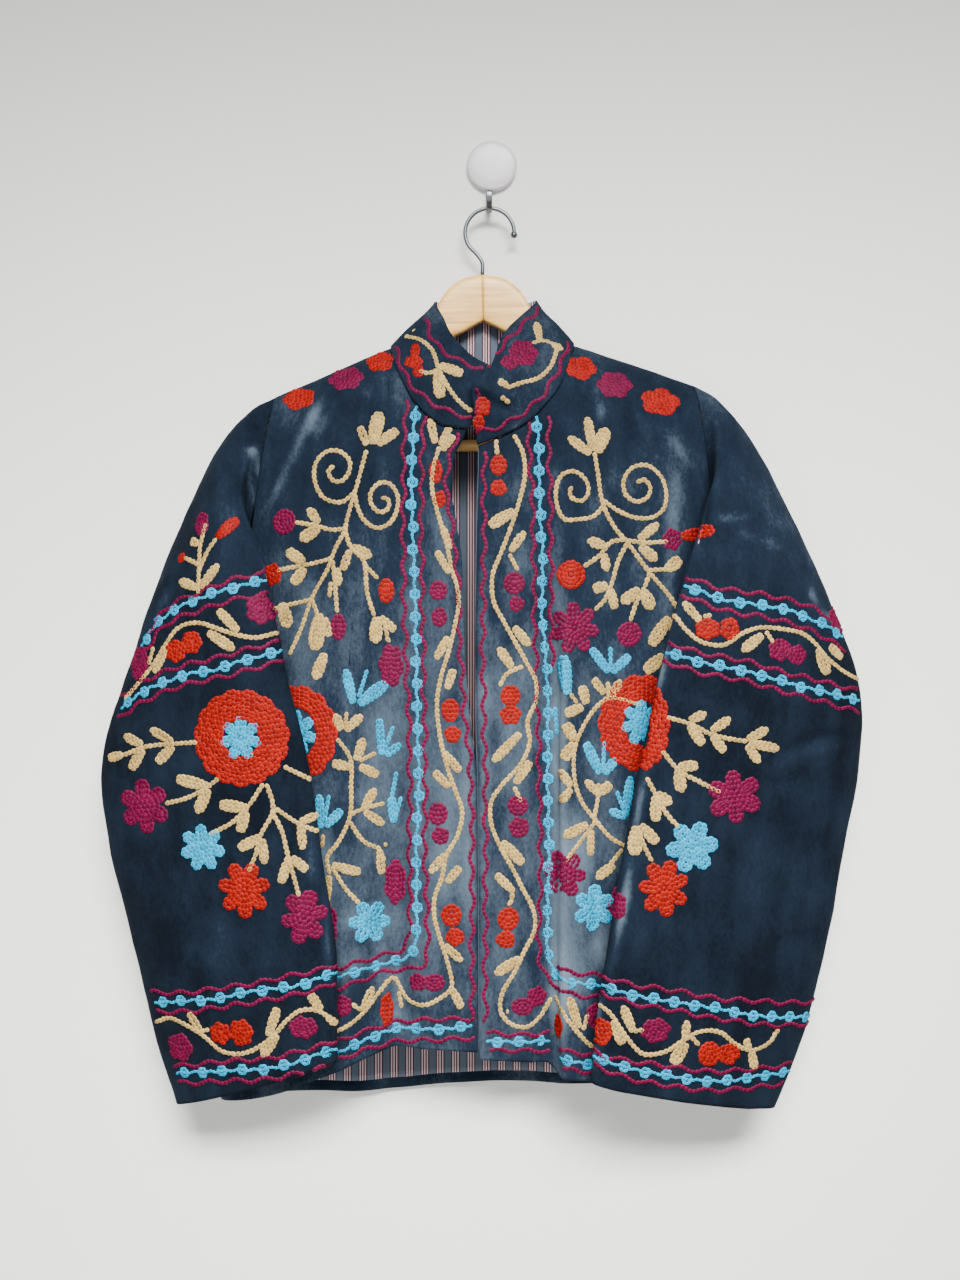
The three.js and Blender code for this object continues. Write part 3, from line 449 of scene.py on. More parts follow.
            (18, -371, 19, 20, 12, "magenta"), (20, -388, 14, 14, 3, "magenta"),
            (15, -464, 18, 18, 8, "orange"), (15, -480, 19, 18, 5, "orange"),
            (21, -555, 18, 18, 8, "magenta"), (22, -573, 18, 19, 5, "magenta"),
            (13, -649, 19, 20, 10, "orange"), (11, -666, 17, 16, 3, "orange"),
            (25, -722, 20, 16, 5, "magenta"), (37, -714, 18, 18, 6, "magenta"),
            (55, -738, 8, 22, 4, "orange"), (84, -729, 14, 22, 6, "magenta"),
            (150, -334, 18, 20, 6, "magenta"), (65, -364, 25, 25, 12, "orange"),
            (68, -408, 40, 42, 7, "magenta"), (114, -413, 22, 22, 12, "magenta"),
            (60, -611, 34, 38, 6, "magenta"), (84, -640, 34, 38, 6, "cyan"),
            (108, -640, 26, 38, 6, "magenta"), (75, -188, 28, 24, 5, "orange"),
            (103, -203, 32, 26, 6, "magenta"), (142, -217, 36, 26, 5, "orange"),
            (176, -420, 32, 34, 7, "magenta"), (170, -560, 34, 36, 7, "orange"),
            (196, -770, 20, 16, 6, "magenta"),
        ],
        "blooms": [(124, -487, 74, 82, 14, "orange", 34, 38, 7, "cyan")],
        "buds": [(157, -331, 181, -328, 12, "orange")],
    },
    "right_sleeve": {
        "beads": [
            [(-168, -366), (-183, -369), (-208, -375), (-226, -380), (-250, -388), (-266, -396),
             (-278, -405), (-292, -424)],
            [(-160, -422), (-172, -427), (-187, -431), (-206, -436), (-224, -442), (-244, -445),
             (-264, -451), (-289, -461), (-310, -475)],
            [(-122, -686), (-137, -690), (-162, -698), (-182, -701), (-200, -704), (-217, -709),
             (-234, -713), (-256, -716), (-282, -721)],
            [(-122, -748), (-140, -753), (-168, -763), (-186, -767), (-210, -770), (-230, -773),
             (-264, -779)],
        ],
        "waves": [
            [(-168, -360), (-182, -363), (-205, -368), (-240, -379), (-268, -392), (-286, -412)],
            [(-166, -377), (-180, -380), (-205, -385), (-240, -394), (-270, -407), (-292, -432)],
            [(-158, -415), (-172, -419), (-206, -428), (-244, -437), (-289, -452), (-310, -466)],
            [(-160, -431), (-172, -435), (-206, -445), (-244, -453), (-289, -469), (-312, -484)],
            [(-122, -678), (-132, -682), (-180, -693), (-234, -705), (-286, -713)],
            [(-122, -692), (-133, -697), (-165, -706), (-195, -712), (-225, -719), (-280, -729)],
            [(-122, -740), (-133, -744), (-170, -755), (-210, -762), (-266, -773)],
            [(-122, -757), (-132, -762), (-168, -772), (-210, -779), (-262, -787)],
        ],
        "stems": [
            [(-160, -414), (-172, -412), (-190, -416), (-206, -414), (-222, -409), (-240, -404),
             (-257, -408), (-268, -421), (-281, -440), (-296, -457), (-306, -467)],
            [(-240, -380), (-240, -358), (-240, -340), (-236, -322)],
            [(-240, -362), (-233, -345), (-226, -335)],
            [(-241, -356), (-254, -350)],
            [(-240, -501), (-262, -503), (-286, -506), (-305, -513), (-320, -517)],
            [(-222, -530), (-234, -539), (-250, -547), (-268, -552)],
            [(-185, -534), (-198, -553), (-210, -565), (-230, -576)],
            [(-182, -534), (-177, -555), (-187, -575), (-191, -590), (-197, -605)],
            [(-178, -556), (-170, -572), (-165, -592), (-161, -606), (-156, -624)],
            [(-175, -554), (-156, -566), (-140, -573)],
            [(-168, -520), (-150, -529), (-140, -536)],
            [(-128, -727), (-140, -718), (-154, -717), (-166, -725), (-177, -738), (-190, -749),
             (-206, -756), (-222, -755), (-236, -745), (-251, -737), (-268, -732), (-282, -738)],
            [(-233, -738), (-240, -740)],
        ],
        "leaves": [
            (-204, -412, -223, -393, 9), (-232, -411, -208, -426, 10), (-267, -424, -279, -445, 9),
            (-285, -442, -279, -420, 5), (-240, -376, -258, -369, 9), (-239, -377, -223, -356, 9),
            (-241, -340, -250, -335, 8), (-260, -502, -282, -491, 9), (-260, -504, -276, -519, 10),
            (-287, -505, -306, -497, 9), (-287, -507, -300, -526, 10), (-306, -513, -322, -517, 9),
            (-229, -537, -259, -531, 11), (-230, -538, -241, -559, 11), (-196, -554, -222, -551, 11),
            (-198, -556, -205, -574, 10), (-186, -576, -206, -587, 10), (-186, -577, -184, -599, 9),
            (-164, -592, -171, -615, 9), (-163, -592, -149, -604, 9), (-155, -565, -153, -587, 8),
            (-156, -565, -141, -559, 8), (-138, -718, -148, -703, 9), (-135, -721, -126, -730, 7),
            (-183, -741, -174, -715, 9), (-174, -737, -188, -757, 10), (-238, -744, -251, -724, 8),
        ],
        "flowers": [
            (-187, -393, 26, 26, 6, "magenta"), (-245, -420, 20, 20, 6, "orange"),
            (-259, -427, 20, 20, 6, "orange"), (-293, -437, 20, 30, 6, "magenta"),
            (-240, -322, 14, 22, 5, "magenta"), (-257, -350, 8, 10, 4, "orange"),
            (-287, -555, 44, 44, 6, "magenta"), (-236, -587, 38, 38, 7, "cyan"),
            (-201, -620, 42, 46, 7, "orange"), (-152, -641, 37, 44, 6, "magenta"),
            (-223, -740, 20, 20, 6, "orange"), (-205, -738, 22, 24, 6, "orange"),
            (-153, -731, 25, 20, 6, "magenta"), (-259, -756, 24, 26, 5, "magenta"),
        ],
        "buds": [(-226, -335, -208, -318, 11, "orange")],
        "blooms": [(-203, -497, 80, 80, 15, "orange", 34, 36, 7, "cyan")],
    },
    "left_sleeve": {
        "beads": [
            [(142, -370), (153, -374), (165, -377), (180, -384), (198, -387), (219, -390), (240, -393),
             (260, -400), (277, -406), (294, -416)],
            [(130, -424), (140, -428), (152, -431), (167, -436), (189, -440), (211, -445), (230, -450),
             (252, -456), (275, -461), (308, -469)],
            [(78, -692), (88, -697), (106, -703), (120, -706), (136, -709), (155, -713), (171, -716),
             (190, -720), (207, -725), (228, -729), (280, -736)],
            [(76, -754), (97, -760), (116, -766), (135, -770), (156, -775), (178, -779), (196, -780),
             (218, -779), (250, -780)],
        ],
        "waves": [
            [(142, -362), (158, -367), (180, -375), (210, -380), (232, -383), (258, -389), (290, -406)],
            [(140, -377), (150, -380), (170, -388), (195, -396), (225, -400), (250, -406), (296, -426)],
            [(132, -417), (140, -420), (167, -428), (211, -437), (252, -448), (306, -460)],
            [(128, -432), (140, -436), (167, -444), (211, -453), (252, -464), (308, -478)],
            [(78, -686), (95, -692), (136, -700), (190, -711), (240, -718), (284, -724)],
            [(78, -700), (95, -706), (136, -716), (190, -728), (215, -734), (278, -742)],
            [(76, -748), (85, -753), (116, -759), (156, -767), (196, -772), (252, -773)],
            [(76, -762), (85, -764), (116, -774), (156, -783), (196, -788), (244, -789)],
        ],
        "stems": [
            [(132, -392), (146, -398), (155, -409), (167, -419), (186, -422), (201, -413), (216, -408),
             (236, -409), (255, -413), (266, -421), (277, -433), (294, -445), (310, -452)],
            [(140, -480), (160, -486), (176, -494), (192, -498), (206, -500)],
            [(136, -507), (150, -523), (166, -532), (184, -541)],
            [(124, -529), (133, -546), (140, -558), (150, -569)],
            [(117, -570), (122, -584), (128, -596)],
            [(80, -710), (94, -719), (104, -733), (112, -744), (122, -753), (140, -752), (154, -744),
             (168, -737), (185, -738), (200, -750), (213, -756), (228, -752), (238, -741)],
            [(222, -411), (228, -420)],
            [(114, -734), (122, -733)],
            [(162, -741), (168, -748)],
        ],
        "leaves": [
            (168, -404, 154, -387, 8), (166, -400, 180, -397, 6), (220, -413, 201, -427, 10),
            (268, -424, 277, -447, 12), (292, -434, 279, -422, 9), (157, -483, 172, -477, 9),
            (157, -485, 170, -503, 10), (175, -492, 192, -481, 9), (176, -494, 188, -509, 9),
            (205, -499, 224, -490, 9), (206, -501, 234, -507, 9), (205, -502, 217, -518, 9),
            (148, -520, 166, -519, 10), (149, -521, 152, -541, 11), (131, -541, 144, -550, 10),
            (131, -542, 131, -565, 10), (116, -567, 114, -592, 13), (118, -566, 133, -582, 10),
            (97, -724, 105, -746, 9), (114, -736, 105, -713, 9), (156, -744, 158, -727, 8),
            (158, -745, 146, -763, 12), (212, -756, 208, -745, 7), (213, -756, 217, -773, 9),
            (234, -746, 238, -738, 6),
        ],
        "flowers": [
            (173, -409, 22, 19, 6, "orange"), (191, -409, 18, 20, 5, "orange"),
            (234, -426, 22, 20, 6, "magenta"), (249, -430, 18, 18, 5, "magenta"),
            (196, -545, 46, 42, 6, "magenta"), (161, -585, 42, 42, 6, "cyan"),
            (138, -618, 40, 46, 7, "orange"), (101, -632, 14, 24, 5, "magenta"),
            (88, -735, 18, 24, 6, "orange"), (132, -734, 26, 22, 6, "magenta"),
            (177, -756, 20, 22, 8, "orange"), (194, -757, 20, 20, 5, "orange"),
            (290, -400, 20, 26, 6, "magenta"),
        ],
        "buds": [(157, -331, 181, -328, 12, "orange")],
        "blooms": [(120, -486, 46, 76, 14, "orange", 14, 26, 7, "cyan")],
    },
    "collar": {
        "waves": [
            [(-58, -142), (-50, -164), (-38, -177), (-24, -187), (-8, -193)],
            [(-83, -168), (-79, -181), (-71, -199), (-57, -216), (-38, -228), (-17, -234)],
            [(-3, -192), (4, -180), (12, -168), (24, -152), (36, -138), (41, -130)],
            [(-14, -247), (3, -243), (22, -232), (41, -216), (54, -194), (61, -176), (65, -163)],
            [(-14, -212), (-12, -228), (-13, -250)],
        ],
        "stems": [
            [(-74, -158), (-60, -164), (-50, -175), (-46, -188), (-41, -200), (-34, -212), (-26, -222),
             (-17, -229)],
            [(-46, -193), (-54, -195), (-61, -193)],
            [(12, -210), (24, -205), (38, -200), (48, -190), (53, -178), (54, -170), (46, -165), (40, -165),
             (34, -168)],
        ],
        "leaves": [
            (-45, -188, -24, -197, 10), (-46, -192, -43, -218, 11), (-64, -156, -70, -150, 6),
            (40, -165, 38, -146, 8), (50, -167, 60, -172, 8), (14, -209, 4, -204, 7),
            (4, -216, 17, -225, 6),
        ],
        "flowers": [
            (-65, -174, 9, 16, 4, "orange"), (-66, -184, 17, 13, 5, "orange"),
            (-62, -193, 11, 12, 4, "orange"), (26, -178, 26, 26, 6, "magenta"),
            (14, -188, 16, 14, 5, "magenta"), (-8, -226, 14, 18, 5, "orange"),
            (-11, -239, 10, 14, 4, "orange"),
        ],
    },
}

# x from the middle, z above and below, y, thickness of each hanger arm
ARM_SECTIONS = [
    (0.15, -99.5, -139.6, -15.5, 12), (14, -101.8, -147, -15.5, 12), (26, -108, -153, -15.5, 12),
    (35, -117.5, -158, -15.5, 12), (40, -127, -161, -15.5, 12), (44, -139, -163, -15.6, 12),
    (54, -158, -170, -18.5, 12), (64, -168.5, -179, -20.5, 12), (76, -174, -190, -22, 12),
    (120, -189.5, -212, -26.5, 14), (157.9, -204, -235, -29.5, 20), (158.2, -204.2, -262, -29.5, 20),
    (176, -214, -264, -31, 20), (187, -228, -260, -32, 18), (192, -240, -252, -32, 12),
]
HANGER_X = -9.6
HANGER_TILT = math.radians(-1.3)
BAR_HALF, BAR_Y, BAR_Z, BAR_RADIUS = 157.5, -29.5, -250.0, 5.0

# the hanger's hook: x, z of the crook's middle, the angle of its tip and how far it runs round, in degrees
CROOK = (7.2, -62.5)
CROOK_RADIUS = 21.4
CROOK_TIP, CROOK_SWEEP = -6, 238
HOOK_Y = -15.5
WIRE_RADIUS = 1.7
TIP_RADIUS = 3.0

# the wall hook: radius, y round the disc's profile, and the strip that is bent into the prong
DISC_PROFILE = [
    (0, 0), (21.2, 0), (21.8, -0.4), (22, -1.2), (22, -4.6), (21.7, -5.6), (20.9, -6.5), (19.6, -7),
    (15.4, -7.6), (8, -7.9), (0, -8),
]
PRONG_X = -2.4
PRONG_LOOP = 10.5
PRONG_GAP = 0.3
STRIP_HALF_WIDTH, STRIP_HALF_THICKNESS = 2.5, 0.7

# the wall: its top, where it starts to bend into the floor, the bend's radius, the floor's reach, the width
WALL_TOP, WALL_FOOT, WALL_BEND, FLOOR_REACH, WALL_WIDTH = 900, -1080, 420, 2000, 12000
# name, place and aim in metres, width, height, spread in degrees, power, colour
LIGHTS = [
    ("ceiling_light", (0.2, -1.8, 0.8), (0.0, -0.05, -0.82), 1.6, 0.6, 54, 28.5, (1.0, 0.985, 0.96)),
    ("room", (-0.5, -2.2, -0.8), (0.0, -0.05, -0.6), 2.4, 1.6, 110, 11, (0.96, 0.98, 1.0)),
]
ROOM_COLOUR, ROOM_STRENGTH = (0.78, 0.82, 0.88, 1), 0.3
CAMERA_PLACE = (-0.0103, -1.15, -0.418)
CAMERA_LENS = 48.73


# ---------------- curves through the tables

def smooth_column(rows, key, column):
    """A smooth curve through one column of a table, held level beyond its ends."""
    ordered = sorted(rows, key=lambda row: row[key])
    keys = np.array([row[key] for row in ordered], float)
    values = np.array([row[column] for row in ordered], float)
    steps = np.diff(values) / np.diff(keys)
    slopes = np.concatenate([steps[:1], np.zeros(len(keys) - 2), steps[-1:]])
    same_way = steps[:-1] * steps[1:] > 0
    total = np.where(same_way, steps[:-1] + steps[1:], 1.0)
    slopes[1:-1] = np.where(same_way, 2 * steps[:-1] * steps[1:] / total, 0.0)

    def value(at):
        held = np.clip(at, keys[0], keys[-1])
        i = np.clip(np.searchsorted(keys, held), 1, len(keys) - 1)
        span = keys[i] - keys[i - 1]
        f = (held - keys[i - 1]) / span
        rise = f * f * (3 - 2 * f)
        leave = f * (1 - f) ** 2 * span * slopes[i - 1]
        arrive = f * f * (1 - f) * span * slopes[i]
        return values[i - 1] + (values[i] - values[i - 1]) * rise + leave - arrive

    return value


def curve_through(guides, shares):
    """A centripetal curve through guides, read at shares of its whole. A guide may be many points at once."""
    guides = np.asarray(guides, float)
    line = np.concatenate([[2 * guides[0] - guides[1]], guides, [2 * guides[-1] - guides[-2]]])
    place = np.asarray(shares) * (len(guides) - 1)
    i = np.minimum(place.astype(int), len(guides) - 2)
    p0, p1, p2, p3 = line[i], line[i + 1], line[i + 2], line[i + 3]
    w = (place - i).reshape((-1,) + (1,) * (guides.ndim - 1))
    gap = lambda a, b: np.sqrt(np.maximum(np.linalg.norm(b - a, axis=-1, keepdims=True), 1e-8))
    d0, d1, d2 = gap(p0, p1), gap(p1, p2), gap(p2, p3)
    leave = ((p1 - p0) / d0 - (p2 - p0) / (d0 + d1) + (p2 - p1) / d1) * d1
    arrive = ((p2 - p1) / d1 - (p3 - p1) / (d1 + d2) + (p3 - p2) / d2) * d1
    square = 3 * (p2 - p1) - 2 * leave - arrive
    cube = 2 * (p1 - p2) + leave + arrive
    return p1 + w * (leave + w * (square + w * cube))


half_width = smooth_column(BODY_LEVELS, 0, 1)
side_depth = smooth_column(BODY_LEVELS, 0, 4)
full_depth = {"right": smooth_column(BODY_LEVELS, 0, 2), "left": smooth_column(BODY_LEVELS, 0, 2),
              "back": smooth_column(BODY_LEVELS, 0, 3)}
crest_z = smooth_column(SHOULDER_LINE, 0, 1)
crest_y = smooth_column(SHOULDER_LINE, 0, 2)
neck_z = {kind: smooth_column(rows, 0, 1) for kind, rows in NECKLINES.items()}
hem_z = {kind: smooth_column(rows, 0, 1) for kind, rows in HEMS.items()}
edge_x = {"right": smooth_column(FRONT_EDGES, 0, 1), "left": smooth_column(FRONT_EDGES, 0, 2)}
AWAY = {"right": -1, "left": 1}


# ---------------- the body's sheets

def below_crest(q, rounding):
    return np.where(q < math.pi / 2, rounding * (1 - np.cos(q)), rounding * (1 + q - math.pi / 2))


def crest_parameter(distance, rounding):
    d = np.maximum(distance, 0)
    round_part = np.arccos(1 - np.minimum(d / rounding, 1))
    return np.where(d < rounding, round_part, math.pi / 2 + (d - rounding) / rounding)


def side_angle(z, side):
    """The angle at which a sheet ends: 90 degrees at the side seam, less along the armhole."""
    shoulder = crest_z(ARMHOLE_TOP_X[side])
    up = np.clip((z - UNDERARM_Z) / (shoulder - UNDERARM_Z), 0, 1)
    return np.arcsin(1 - (1 - ARMHOLE_SHARE[side]) * up ** 1.3)


def angle_of_x(x, z):
    return np.arcsin(np.clip((x - MIDDLE_X) / half_width(z), -1, 1))


def fold_depth(folds, x, z):
    depth = np.zeros_like(x)
    for top, top_x, foot, foot_x, width, deep in folds:
        down = np.maximum((top - z) / (top - foot), 0)
        strength = np.sin(math.pi / 2 * np.minimum(1, 2.2 * down))
        depth += deep * strength * np.exp(-(((x - top_x - (foot_x - top_x) * down) / width) ** 2))
    return depth


def body_point(kind, angle_at, q):
    """A point of the body: angle_at gives its angle round the section at a level, q how far it is down."""
    x, z = np.full_like(q, MIDDLE_X), np.full_like(q, UNDERARM_Z)
    for _ in range(6):
        angle = angle_at(z)
        x = MIDDLE_X + half_width(z) * np.sin(angle)
        z = crest_z(x) - below_crest(q, ROUNDING[kind])
    reach = np.cos(angle) * (1 + SQUARENESS * np.sin(angle) ** 2)
    fold = fold_depth(FOLDS[kind], x, z) * np.minimum(1, np.abs(reach) * 1.6)
    outward = 1 if kind == "back" else -1
    full = side_depth(z) + (full_depth[kind](z) - side_depth(z)) * reach + outward * fold
    out = np.where(q < math.pi / 2, np.sin(q), 1)
    return np.stack([x, crest_y(x) + (full - crest_y(x)) * out, z], -1)


def top_of(kind, x):
    inside = (x > NECK_POINT["right"]) & (x < NECK_POINT["left"])
    return np.where(inside, neck_z[kind](x), crest_z(x))


def sheet_angles(kind, z, edge_trim):
    if kind == "back":
        return SEAM_ANGLE - side_angle(z, "right"), side_angle(z, "left") - SEAM_ANGLE
    away = AWAY[kind]
    return angle_of_x(edge_x[kind](z) + away * edge_trim, z), away * (side_angle(z, kind) - SEAM_ANGLE)


def share_at_top(kind, x):
    """The share across a sheet at which its top edge passes x."""
    z = top_of(kind, np.array(float(x)))
    first, last = sheet_angles(kind, z, 0.0)
    return float(np.clip((angle_of_x(x, z) - first) / (last - first), 0, 1))


def body_sheet(kind, s, t, hem_trim=0.0, edge_trim=0.0):
    """A sheet of the body: s runs across from its first edge, t up from the hem."""
    def angle_at(z):
        first, last = sheet_angles(kind, z, edge_trim)
        return first + (last - first) * s

    rounding = ROUNDING[kind]
    top, foot = np.full_like(s, 0.5), np.full_like(s, 4.0)
    for _ in range(14):
        high, low = body_point(kind, angle_at, top)[..., 0], body_point(kind, angle_at, foot)[..., 0]
        top = crest_parameter(crest_z(high) - top_of(kind, high), rounding)
        foot = crest_parameter(crest_z(low) - hem_z[kind](low) - hem_trim, rounding)
    top = np.maximum(top, SEAM_ANGLE)
    return body_point(kind, angle_at, foot + (top - foot) * t)


# ---------------- sleeves and collar

def armhole_point(side, turn):
    """A point of the armhole: turn 0 is the shoulder seam, a quarter turn the front, a half the underarm."""
    shoulder = crest_z(ARMHOLE_TOP_X[side])
    z = UNDERARM_Z + (shoulder - UNDERARM_Z) * (1 + np.cos(turn)) / 2
    angle = AWAY[side] * side_angle(z, side)
    x = MIDDLE_X + half_width(z) * np.sin(angle)
    halves = [body_point(kind, lambda _: angle, crest_parameter(crest_z(x) - z, ROUNDING[kind]))
              for kind in (side, "back")]
    points = np.where((turn <= math.pi)[..., None], halves[0], halves[1])
    return points + np.array([AWAY[side] * ARMHOLE_GAP, 0, 0])


def sleeve_section(level, turn):
    """A ring of a sleeve from its crown, front, underarm and back points."""
    crown, front, under, back = (np.array(point, float) for point in level)
    centre = (front + back) / 2
    sine, cosine = np.sin(turn)[..., None], np.cos(turn)[..., None]
    across = np.where(sine >= 0, front - centre, back - centre)
    face = np.where(cosine >= 0, crown - centre, under - centre)
    return centre + across * np.abs(sine) + face * np.abs(cosine)


def sleeve_sheet(side, s, t):
    """A sleeve: s runs once round it from the shoulder, t down from the armhole. s and t make a full grid."""
    turns, shares = np.unique(s), np.unique(t)
    guides = [armhole_point(side, 2 * math.pi * turns)]
    guides += [sleeve_section(level, 2 * math.pi * turns) for level in SLEEVE_LEVELS[side]]
    rings = curve_through(guides, shares)
    return rings[np.searchsorted(shares, t), np.searchsorted(turns, s)]


def collar_foot(row):
    """Where the collar stands, just outside the neck edge of its sheet."""
    kind, x, _ = row
    z = neck_z[kind](x)
    angle, q = angle_of_x(x, z), crest_parameter(crest_z(x) - z, ROUNDING[kind])
    at = lambda turn, down: body_point(kind, lambda _: angle + turn, np.array(q + down))
    out = np.cross(at(1e-3, 0) - at(-1e-3, 0), at(0, 1e-3) - at(0, -1e-3))
    out *= (1 if kind == "back" else -1) / np.linalg.norm(out)
    return at(0, 0) + out * (2 + COLLAR_GAP) + np.array([0, 0, COLLAR_GAP])


def collar_sheet(s, t):
    """The collar: s runs round the neck from the right front's end, t up from the neck edge."""
    feet = curve_through([collar_foot(row) for row in COLLAR_ROWS], s)
    tops = curve_through([row[2] for row in COLLAR_ROWS], s)
    out = feet - np.array([MIDDLE_X, COLLAR_CENTRE_Y, 0])
    out[:, 2] = 0
    out /= np.linalg.norm(out, axis=1, keepdims=True)
    bulge = COLLAR_BULGE * (1 - np.maximum(out[:, 1], 0)) * np.sin(math.pi * t)
    return feet + (tops - feet) * t[:, None] + out * bulge[:, None]


# ---------------- small folds

def smooth(low, high, value):
    share = np.clip((value - low) / (high - low), 0, 1)
    return share * share * (3 - 2 * share)


def along_line(x, z, x0, z0, x1, z1, bow=0.0):
    """How far along a bowed line each point is, as a share, and how far aside, in millimetres."""
    run = math.hypot(x1 - x0, z1 - z0)
    along = ((x - x0) * (x1 - x0) + (z - z0) * (z1 - z0)) / run ** 2
    aside = ((x - x0) * (z1 - z0) - (z - z0) * (x1 - x0)) / run
    held = np.clip(along, 0, 1)
    return along, aside - bow * 4 * held * (1 - held)


def crease_height(creases, x, z):
    """Soft ridges and troughs: each fades at its ends and pushes the cloth beside it the other way."""
    height = np.zeros_like(x)
    for number, (x0, z0, x1, z1, bow, width, deep) in enumerate(creases):
        along, aside = along_line(x, z, x0, z0, x1, z1, bow)
        swell = 1 + 0.28 * np.sin(2.3 * number + 7 * along)
        fade = smooth(-0.12, 0.18, along) * smooth(1.12, 0.8, along)
        ridge = np.exp(-((aside / width) ** 2))
        shoulder = np.exp(-((aside / (1.9 * width)) ** 2))
        height += deep * swell * fade * (1.35 * ridge - 0.45 * shoulder)
    return height


def uneven(x, z, seed):
    """Slow unevenness of hanging cloth, between -1 and 1."""
    total = np.zeros_like(x)
    chance = np.random.default_rng(seed)
    for size in (150, 96, 61, 37, 22):
        turn, phase, other = chance.uniform(0, 2 * math.pi, 3)
        across = x * math.cos(turn) + z * math.sin(turn) * 0.5
        down = z * math.cos(turn) * 0.5 - x * math.sin(turn)
        ripple = np.sin(2 * math.pi * across / size + phase) * np.cos(2 * math.pi * down / size + other)
        total += size / 150 * ripple
    return total / 1.8


def paint_nap_and_sheen(name, x, z, facing):
    """How pale the pile is painted, from 0 to 1: a level for the panel that is partly painted light, random
    patches, and painted sheen streaks along its folds.
    """
    upper, lower = NAP_AND_LIGHT_LEVEL[name]
    pale = upper + (lower - upper) * smooth(-250, -460, z)
    pale += 0.12 * uneven(x, z, len(name)) + 0.08 * uneven(3.1 * x, 3.1 * z, 5 + len(name))
    # painted sheen: pale streaks along the ridges of the folds, on the faces that are seen
    for number, (x0, z0, x1, z1, width, strength) in enumerate(PAINTED_SHEEN_STREAKS.get(name, [])):
        along, aside = along_line(x, z, x0, z0, x1, z1, 2 * math.sin(3 * number))
        fade = smooth(-0.1, 0.2, along) * smooth(1.1, 0.75, along)
        soft = np.exp(-((aside / (1.3 * width + 1.2)) ** 2))
        pale += facing * 0.55 * strength * fade * soft * (1 + 0.3 * np.sin(9 * along + number))
    return np.clip(pale, 0, 1)


# ---------------- cloth and solid pieces

def new_object(name, mesh):
    piece = bpy.data.objects.new(name, mesh)
    bpy.context.scene.collection.objects.link(piece)
    return piece


def corners_of(mesh):
    points = np.empty(3 * len(mesh.vertices))
    mesh.vertices.foreach_get("co", points)
    return points.reshape(-1, 3)


def grid_mesh(name, across, along, place, turned=False, wrapped=False, capped=False):
    """A grid moved onto place(s, t), in millimetres. wrapped joins its two ends, turned flips it."""
    build = bmesh.new()
    bmesh.ops.create_grid(build, x_segments=across, y_segments=along, size=0.5)
    mesh = bpy.data.meshes.new(name)
    build.to_mesh(mesh)
    flat = corners_of(mesh)
    s, t = np.round(flat[:, 0] + 0.5, 6), np.round(flat[:, 1] + 0.5, 6)
    points = place(s, t)
    if wrapped:
        seam = s == 1
        first = np.argsort(t[s == 0])
        points[np.nonzero(seam)[0][np.argsort(t[seam])]] = points[np.nonzero(s == 0)[0][first]]
    mesh.vertices.foreach_set("co", (points * MM).ravel())
    build.clear()
    build.from_mesh(mesh)
    if wrapped:
        bmesh.ops.remove_doubles(build, verts=build.verts, dist=1e-6)
    if capped:
        bmesh.ops.holes_fill(build, edges=[edge for edge in build.edges if edge.is_boundary], sides=0)
    if turned:
        bmesh.ops.reverse_faces(build, faces=build.faces)
    if capped:
        bmesh.ops.recalc_face_normals(build, faces=build.faces)
    build.to_mesh(mesh)
    build.free()
    mesh.shade_smooth()
    return mesh


def lay_folds(mesh, name, size=1.0):
    """Moves a cloth mesh in and out by its creases and stores how pale its pile is painted, painted sheen
    included.
    """
    points = corners_of(mesh) / MM
    normals = np.empty(3 * len(mesh.vertices))
    mesh.vertices.foreach_get("normal", normals)
    normals = normals.reshape(-1, 3)
    x, y, z = points.T
    creases = CREASES.get(name, [])
    behind = name == "back"
    seen = smooth(0.1, 0.5, normals[:, 1] if behind else -normals[:, 1])
    hidden = smooth(0.1, 0.5, -normals[:, 1] if behind else normals[:, 1])
    height = seen * crease_height(creases, x, z) + hidden * 0.8 * crease_height(creases, x + 6, z - 18)
    height += size * (0.55 * uneven(x + y, z, 3) + 0.18 * uneven(4 * x, 4 * z, 8))
    points += normals * height[:, None]
    mesh.vertices.foreach_set("co", (points * MM).ravel())
    # the attribute holds the pile's own tone together with painted light and painted sheen
    pile = mesh.attributes.new("nap", "FLOAT", "POINT")
    pile.data.foreach_set("value", paint_nap_and_sheen(name, x, z, seen + 0.6 * hidden))
    mesh.update()


def make_cloth(name, mesh, outside, inside, thickness):
    """A cloth piece from its outer face: its thickness, its finishes and what it stands for."""
    piece = new_object(name + "_cloth", mesh)
    mesh.materials.append(outside)
    mesh.materials.append(inside)
    shell = piece.modifiers.new("thickness", "SOLIDIFY")
    shell.thickness = thickness
    shell.offset = -1
    shell.material_offset = 1
    shell.use_even_offset = False
    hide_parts(name)
    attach(piece, "root")
    return piece


def make_solid(name, mesh, material, bevel=0.0):
    piece = new_object(name + "_finish", mesh)
    mesh.materials.append(material)
    if bevel:
        edge = piece.modifiers.new("edge", "BEVEL")
        edge.width = bevel * MM
        edge.segments = 2
        edge.limit_method = "ANGLE"
    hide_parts(name)
    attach(piece, "root")
    return piece


# ---------------- drawing the rows of a design

def evened(points, step, closed=False):
    """A smooth line through points, read every step along it."""
    guides = np.array(list(points) + ([points[0]] if closed else []), float)
    if len(guides) > 2:
        guides = curve_through(guides, np.linspace(0, 1, 12 * len(guides)))
    run = np.concatenate([[0], np.cumsum(np.linalg.norm(np.diff(guides, axis=0), axis=1))])
    places = np.linspace(0, run[-1], max(2, int(run[-1] / step) + 1))
    return np.stack([np.interp(places, run, guides[:, k]) for k in range(guides.shape[1])], -1)


